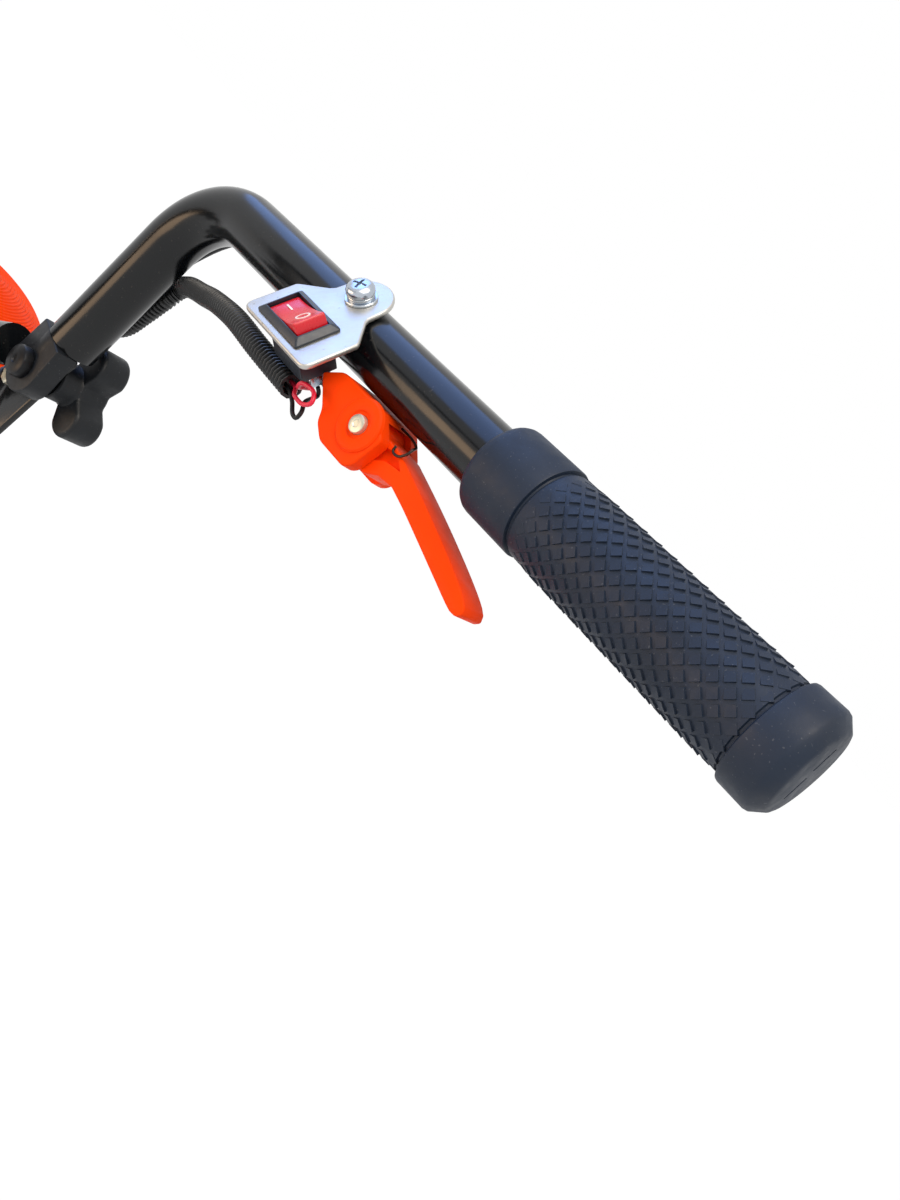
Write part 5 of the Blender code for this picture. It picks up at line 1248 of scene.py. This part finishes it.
def starterPull():
    half, reach, low, high = starter["pull"]
    pull = raiseOutline("starterPull", roundedBox(-half, -reach, half, reach, 6, 8), low, high)
    roundEdges(pull, 2.8, 5, 50)
    neck = spinProfile("neck", [(0, 76.3), (4.5, 76.3), (4.9, 77.2), (6, low + 1), (0, low + 1)], 48)
    shapeWith(pull, "UNION", neck)
    shapeWith(pull, "DIFFERENCE", barAt("knot", 3.2, high - 3, high + 2, 32), barAt("bore", 2.0, 70, 99, 24))
    finishPiece(pull, starterPlace, skins["black_plastic"], "pull_handle", "starter_handle")
    near, far = starter["ropeSpan"]
    points = [(0, 0, near + (far - near) * i / 40) for i in range(41)]
    radii = [starter["rope"] - 0.22 * (i % 2) for i in range(41)]
    rope = wireAlong("starterRope", points, radii, 16)
    finishPiece(rope, starterPlace, wovenCord, None, smooth=60)
    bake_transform(rope)


recoilCover()
fanHousing()
starterPull()
print("starter and fan housing done")

tank = {
    "low": (-136.0, -24.0, 292.0),
    "high": (-56.0, 76.0, 372.0),
    "corner": 16.0,
    "edge": 8.0,
    "neck": (-100.0, 12.0),
    "capRadius": 18.6,
    "capRibs": 36,
    "feet": (-122.0, -82.0),
}


def fuelTank():
    x0, y0, z0 = tank["low"]
    x1, y1, z1 = tank["high"]
    body = raiseOutline("fuelTank", roundedBox(x0, y0, x1, y1, tank["corner"], 8), z0, z1)
    roundEdges(body, tank["edge"], 5, 50)
    middle = (z0 + z1) / 2
    seam = raiseOutline("seam", roundedBox(x0 - 0.9, y0 - 0.9, x1 + 0.9, y1 + 0.9, tank["corner"] + 0.9, 8),
                        middle - 0.6, middle + 0.6)
    neck = spinProfile("neck", [(0, 366), (17, 366), (17, 373.4), (15, 374.4), (15, 381), (0, 381)], 48)
    moved(neck, Matrix.Translation((*tank["neck"], 0)))
    shapeWith(body, "UNION", seam, neck)
    for x in tank["feet"]:
        shapeWith(body, "UNION", easedBox("foot", (x, -8, 284.3), (x + 12, 60, 294), 1.2))
    shapeWith(body, "DIFFERENCE", barAt("mouth", 11.5, 370, 390, 48, *tank["neck"]))
    roundEdges(body, 0.5, 2, 50)
    finishPiece(body, inPlace, skins["fuel_plastic"], "frame", "fuel_tank", smooth=40)


def fuelCap():
    radius = tank["capRadius"]
    cap = spinProfile("fuelCap", [(0, 381.3), (15.6, 381.3), (15.6, 375), (radius - 0.4, 375),
                                  (radius, 375.6), (radius, 388.4), (radius - 0.7, 389.6),
                                  (radius - 2.4, 390.6), (12, 390.9), (11.4, 390.2), (4, 389.9),
                                  (0, 389.9)], 72)
    ridge = wireAlong("capRidge", [(radius, 0, 377), (radius, 0, 388)], 0.75, 8)
    ridges = repeated(ridge, turnedBy(360 * i / tank["capRibs"] for i in range(tank["capRibs"])))
    joinWith(cap, ridges, easedBox("bridge", (-11, -2.4, 388), (11, 2.4, 390.9), 0.8))
    finishPiece(cap, Matrix.Translation((*tank["neck"], 0)), skins["black_plastic"], "cap", "fuel_cap")


def fuelHose():
    points = smoothPoints([(-55, 4, 306), (-46, 2, 305), (-38, -10, 306), (-32, -24, 320), (-24, -34, 334),
                           (-18, -36, 338)], 2.0)
    hose = wireAlong("fuelHose", points, 2.6, 16)
    collar = wireAlong("collar", [(-20.5, -35.4, 336.6), (-18.6, -36, 337.8)], 3.8, 16)
    finishPiece(joinWith(hose, collar), inPlace, amberHose, "frame", smooth=50)


fuelTank()
fuelCap()
fuelHose()
print("tank done")

engine = {
    "fins": 5,
    "finPitch": 12.0,
    "finRadius": 41.0,
    "bore": 27.0,
    "louvres": (346.0, 355.0, 364.0, 373.0),
    "topSlots": (-26.0, -14.0, -2.0, 10.0, 22.0),
    "louvreHeight": 3.2,
    "slotWidth": 4.0,
    "ribTurns": (-38, -14, 14, 38, 142, 166, 194, 218),
    "gussets": 8,
    "cylinder": (0.0, 84.3, 334.0),
    "plug": (0.0, 160.3, 334.0),
    "coverScrews": [(sign * 52.0, y, 306.0) for sign in (-1, 1) for y in (96.0, 174.0)],
    "mufflerScrews": [(91.8, 92.0, 312.0), (91.8, 146.0, 334.0)],
    "vents": (314.0, 323.0, 332.0, 341.0),
    "bowlScrews": [(-11.0, -37.0, 352.6), (11.0, -37.0, 352.6)],
}


def cylinder():
    core, fin = engine["bore"], engine["finRadius"]
    profile = [(0, 0), (30, 0), (30, 3.4), (29.4, 4), (core, 4)]
    for index in range(engine["fins"]):
        start = 9 + engine["finPitch"] * index
        profile += [(core + 1.5, start), (fin - 0.8, start + 0.4), (fin, start + 1), (fin, start + 2),
                    (fin - 0.8, start + 2.6), (core + 1.5, start + 3)]
    profile += [(core, 70), (22, 74), (8, 76), (0, 76)]
    piece = spinProfile("cylinder", profile, 96)
    finishPiece(piece, alongY(*engine["cylinder"]), skins["cast_aluminium"], "frame", "cylinder")


def cylinderCover():
    cover = softCopy("cylinder_cover", 0)
    for height in engine["louvres"]:
        top = height + engine["louvreHeight"]
        shapeWith(cover, "DIFFERENCE", boxAt("louvre", (-70, 104, height), (70, 166, top)))
    for x in engine["topSlots"]:
        end = x + engine["slotWidth"]
        shapeWith(cover, "DIFFERENCE", boxAt("slot", (x, 104, 380), (end, 166, 400)))
    roundEdges(cover, 0.7, 2, 40)
    finishPiece(cover, inPlace, skins["orange_plastic"], "frame", "cylinder_cover", smooth=36)
    screwRow("cylinderCoverScrews", [turnedTo((copysign(1, place[0]), 0, 0), (0, 1, 0), place)
                                     for place in engine["coverScrews"]])


def sparkPlug():
    place = alongY(*engine["plug"])
    shell = spinProfile("plugShell", [(0, 0), (6, 0), (6, 3), (10, 3), (10, 4), (7.4, 4.4), (7.4, 11),
                                      (5.5, 12), (0, 12)], 48)
    hexagon = barAt("hexagon", 9.0, 4, 10.4, 6)
    roundEdges(hexagon, 0.4, 2)
    finishPiece(joinWith(shell, hexagon), place, skins["bright_steel"], "frame", "spark_plug")
    boot = spinProfile("plugBoot", [(5.0, 11.5), (7.0, 11.5), (7.6, 12.2), (7.6, 15), (6.8, 15.6), (6.8, 17),
                                    (7.6, 17.6), (7.6, 28), (6.6, 31), (4.0, 32.6), (0, 32.8)], 48)
    moved(boot, place)
    points = smoothPoints([(-3, 186, 334), (-14, 188, 336), (-36, 189, 342), (-56, 178, 352),
                           (-60, 140, 372), (-58, 104, 386), (-50, 84, 394)], 3.0)
    lead = wireAlong("ignitionLead", points, 2.7, 16)
    finishPiece(joinWith(boot, lead), inPlace, skins["black_plastic"], "frame", smooth=50)


def crankcase():
    case = softCopy("crankcase", 1.0)
    rib = easedBox("rib", (40, -1.5, 290), (47.4, 1.5, 382), 0.6)
    ribs = repeated(rib, turnedBy(engine["ribTurns"], engineAxis))
    finishPiece(joinWith(case, ribs), inPlace, skins["cast_aluminium"], "frame", "crankcase", smooth=36)


def clutchHousing():
    bell = softCopy("clutch_housing", 0.8)
    gusset = moved(raiseOutline("gusset", [(44.5, 240), (53.2, 274.5), (44.5, 274.5)], -1.6, 1.6),
                   frameOf((1, 0, 0), (0, 0, 1), (0, -1, 0), (0, 0, 0)))
    roundEdges(gusset, 0.4, 2)
    count = engine["gussets"]
    joinWith(bell, repeated(gusset, turnedBy((360 * (i + 0.5) / count for i in range(count)), engineAxis)))
    finishPiece(bell, inPlace, skins["cast_aluminium"], "frame", "clutch_housing", smooth=36)


def muffler():
    # Z of the working frame runs across the part
    body = raiseOutline("muffler", roundedBox(82, 300, 152, 352, 9, 6), 55, 92)
    roundEdges(body, 5.0, 5, 50)
    seam = raiseOutline("seam", roundedBox(80.4, 298.4, 153.6, 353.6, 10, 6), 72.6, 74.2)
    panel = raiseOutline("panel", roundedBox(94, 326, 140, 344, 5, 5), 90, 93.6)
    roundEdges(panel, 1.2, 3, 50)
    pipe = barAt("pipe", 10, 41.3, 60, 48, 116, 326)
    outlet = barAt("outlet", 5, 85, 104, 48, 134, 316)
    shapeWith(body, "UNION", seam, panel, pipe, outlet)
    shapeWith(body, "DIFFERENCE", barAt("bore", 3.5, 90, 110, 40, 134, 316))
    finishPiece(body, alongX(), skins["spring_steel"], "frame", "muffler")
    screwRow("mufflerScrews", [alongX(*place) for place in engine["mufflerScrews"]])


def airFilterCover():
    rear = frameOf((1, 0, 0), (0, 0, 1), (0, -1, 0), (0, -48.3, 0))
    cover = raiseOutline("airFilterCover", roundedBox(-34, 302, 34, 370, 9, 6), 0, 30)
    roundEdges(cover, 4.5, 4, 50)
    for low in engine["vents"]:
        shapeWith(cover, "DIFFERENCE", boxAt("vent", (-20, low, 27), (20, low + 3, 35)))
    roundEdges(cover, 0.4, 2, 60)
    finishPiece(cover, rear, skins["black_plastic"], "frame", "air_filter_cover")
    knob = spinProfile("filterKnob", [(0, 28), (6.4, 28), (7, 29), (7, 35), (6.2, 36), (3, 36.4),
                                      (0, 36.4)], 40)
    rib = wireAlong("knobRib", [(7, 0, 29.6), (7, 0, 35)], 0.6, 8)
    joinWith(knob, repeated(rib, turnedBy(range(0, 360, 20))))
    finishPiece(knob, rear @ Matrix.Translation((0, 358, 0)), skins["black_plastic"], "frame")


def carburettor():
    softPiece("carburettor", 0.8, "cast_aluminium")
    idle = spinProfile("idleScrew", [(0, 0), (1.6, 0), (1.6, 6), (2.6, 6), (2.6, 8.4), (2.2, 8.8),
                                     (0, 8.8)], 24)
    coil = [(2.3 * cos(pi * i / 6), 2.3 * sin(pi * i / 6), 0.4 + i * 0.1) for i in range(54)]
    joinWith(idle, wireAlong("idleSpring", coil, 0.3, 8))
    place = turnedTo((-1, 0, 0), (0, 1, 0), (-19, -41, 346))
    finishPiece(idle, place, skins["bright_steel"], "frame", smooth=50)
    screwRow("bowlScrews", [turnedTo((0, 0, 1), (1, 0, 0), place) for place in engine["bowlScrews"]])


cylinder()
cylinderCover()
sparkPlug()
crankcase()
clutchHousing()
muffler()
airFilterCover()
carburettor()
print("engine done")

drive = {
    "caseScrews": [(21, 200), (47, 200), (21, 156), (47, 156), (-18, 73), (18, 73), (-29, 112), (28.5, 113)],
    "plateScrews": [(-52, 82), (52, 82), (-52, -2), (52, -2), (-30, -118), (30, -118)],
    "guardScrews": [(-50, 16), (50, 16), (-50, 52), (50, 52)],
    "caseHalf": 22.0,
    "plateTop": 284.0,
    "guardTop": 224.0,
    "shaftHalf": 142.0,
    "shaftHeight": 98.01,
}


def gearCases():
    for name in ("left", "right"):
        softPiece(f"gear_case_{name}", 1.4, "cast_aluminium")
    screwRow("caseScrews", [turnedTo((sign, 0, 0), (0, 1, 0), (sign * drive["caseHalf"], y, z))
                            for sign in (-1, 1) for y, z in drive["caseScrews"]])


def upright(spots, height):
    return [Matrix.Translation((*spot, height)) for spot in spots]


def guardAndPlate():
    softPiece("tine_guard", 0.7, "gloss_black")
    screwRow("guardScrews", upright(drive["guardScrews"], drive["guardTop"]))
    softPiece("engine_plate", 0.8, "gloss_black")
    screwRow("plateScrews", upright(drive["plateScrews"], drive["plateTop"]))
    softPiece("drag_stake", 1.0, "tine_steel", "stake")


def tineSet():
    for name in ("outer_left", "inner_left", "inner_right", "outer_right"):
        softPiece(f"tine_{name}", 0.6, "tine_steel", "tine_set", 30)
    reach = drive["shaftHalf"]
    shaft = spinProfile("tineShaft", [(0, -reach), (8.8, -reach), (10, 1.2 - reach), (10, reach - 1.2),
                                      (8.8, reach), (0, reach)], 64)
    place = alongX(0, 0, drive["shaftHeight"])
    finishPiece(shaft, place, skins["bright_steel"], "tine_set", "tine_shaft")


gearCases()
guardAndPlate()
tineSet()
print("drive and tines done")


room = {
    "floor": "#f4f4f3",
    "floorRough": 0.9,
    # how white the floor looks, and how much of that covers its shadows
    "glow": 1.09,
    "glowShare": 0.86,
    # the white room's light on the part, beside the 1.0 that the camera sees
    "fill": 0.5,
}


def seenBy(owner, *kinds):
    # 1 for these kinds of ray and 0 for the rest, which only carry light
    rays = addNode(owner, "ShaderNodeLightPath")
    seen = rays.outputs[kinds[0]]
    for kind in kinds[1:]:
        node = addNode(owner, "ShaderNodeMath", {0: seen, 1: rays.outputs[kind]}, operation="MAXIMUM")
        seen = node.outputs["Value"]
    return seen


def plainStage():
    skin = bpy.data.materials.new("paleFloor")
    skin.use_nodes = True
    shader = skin.node_tree.nodes["Principled BSDF"]
    shader.inputs["Base Color"].default_value = linear(room["floor"])
    shader.inputs["Roughness"].default_value = room["floorRough"]
    seen = seenBy(skin, "Is Camera Ray", "Is Glossy Ray")
    share = addNode(skin, "ShaderNodeMath", {0: seen, 1: room["glowShare"]}, operation="MULTIPLY")
    white = addNode(skin, "ShaderNodeEmission", {"Color": (1, 1, 1, 1), "Strength": room["glow"]})
    mixed = addNode(skin, "ShaderNodeMixShader", {
        0: share.outputs["Value"], 1: shader.outputs["BSDF"], 2: white.outputs["Emission"]})
    surface = skin.node_tree.nodes["Material Output"].inputs["Surface"]
    skin.node_tree.links.new(mixed.outputs["Shader"], surface)
    clearSelection()
    bpy.ops.mesh.primitive_plane_add(size=30.0, location=(0, 0, 0))
    floor = bpy.context.object
    floor.name = "floor"
    floor.data.materials.append(skin)


def plainWorld():
    world = bpy.data.worlds.new("paleRoom")
    bpy.context.scene.world = world
    world.use_nodes = True
    seen = seenBy(world, "Is Camera Ray", "Is Glossy Ray", "Is Transmission Ray")
    strength = addNode(world, "ShaderNodeMapRange", {"Value": seen, "To Min": room["fill"], "To Max": 1.0})
    back = world.node_tree.nodes["Background"]
    back.inputs["Color"].default_value = (1, 1, 1, 1)
    world.node_tree.links.new(strength.outputs["Result"], back.inputs["Strength"])


lamps = {
    # place, aim and size in metres, power in watts, colour
    "overhead": ((-0.5, -1.1, 2.2), (0.1, -0.2, 0.6), (1.6, 1.2), 32.0, "#fff4e6"),
    "coolFront": ((-0.8, 0.6, 1.7), (0.15, -0.3, 0.7), (1.5, 0.9), 13.0, "#5f9dfa"),
    "warmBounce": ((-1.05, -0.25, 0.14), (0.15, -0.3, 0.74), (0.8, 0.6), 7.0, "#ffd2a0"),
}


def softbox(name, place, target, size, power, colour):
    clearSelection()
    bpy.ops.object.light_add(type="AREA", location=place)
    lamp = bpy.context.object
    lamp.name = name
    lamp.data.shape = "RECTANGLE"
    lamp.data.size, lamp.data.size_y = size
    lamp.data.energy = power
    lamp.data.color = linear(colour)[:3]
    lamp.rotation_euler = (Vector(target) - Vector(place)).to_track_quat("-Z", "Y").to_euler()


camera = {
    "place": (0.0343, -0.48887, 0.7617),
    "right": (0.6686, -0.1948, 0.7177),
    "down": (0.5437, -0.5305, -0.6503),
    "lens": 27.0,
    "sensor": 36.0,
}


def photoCamera():
    clearSelection()
    bpy.ops.object.camera_add(location=camera["place"])
    view = bpy.context.object
    side = Vector(camera["right"]).normalized()
    up = (-Vector(camera["down"]) + side * side.dot(Vector(camera["down"]))).normalized()
    view.matrix_world = frameOf(side, up, side.cross(up), camera["place"])
    view.data.lens = camera["lens"]
    view.data.sensor_width = camera["sensor"]
    view.data.clip_start = 0.01
    bpy.context.scene.camera = view


plainStage()
plainWorld()
for name, lamp in lamps.items():
    softbox(name, *lamp)
photoCamera()
bpy.context.scene.view_settings.view_transform = "Standard"
print("stage done")
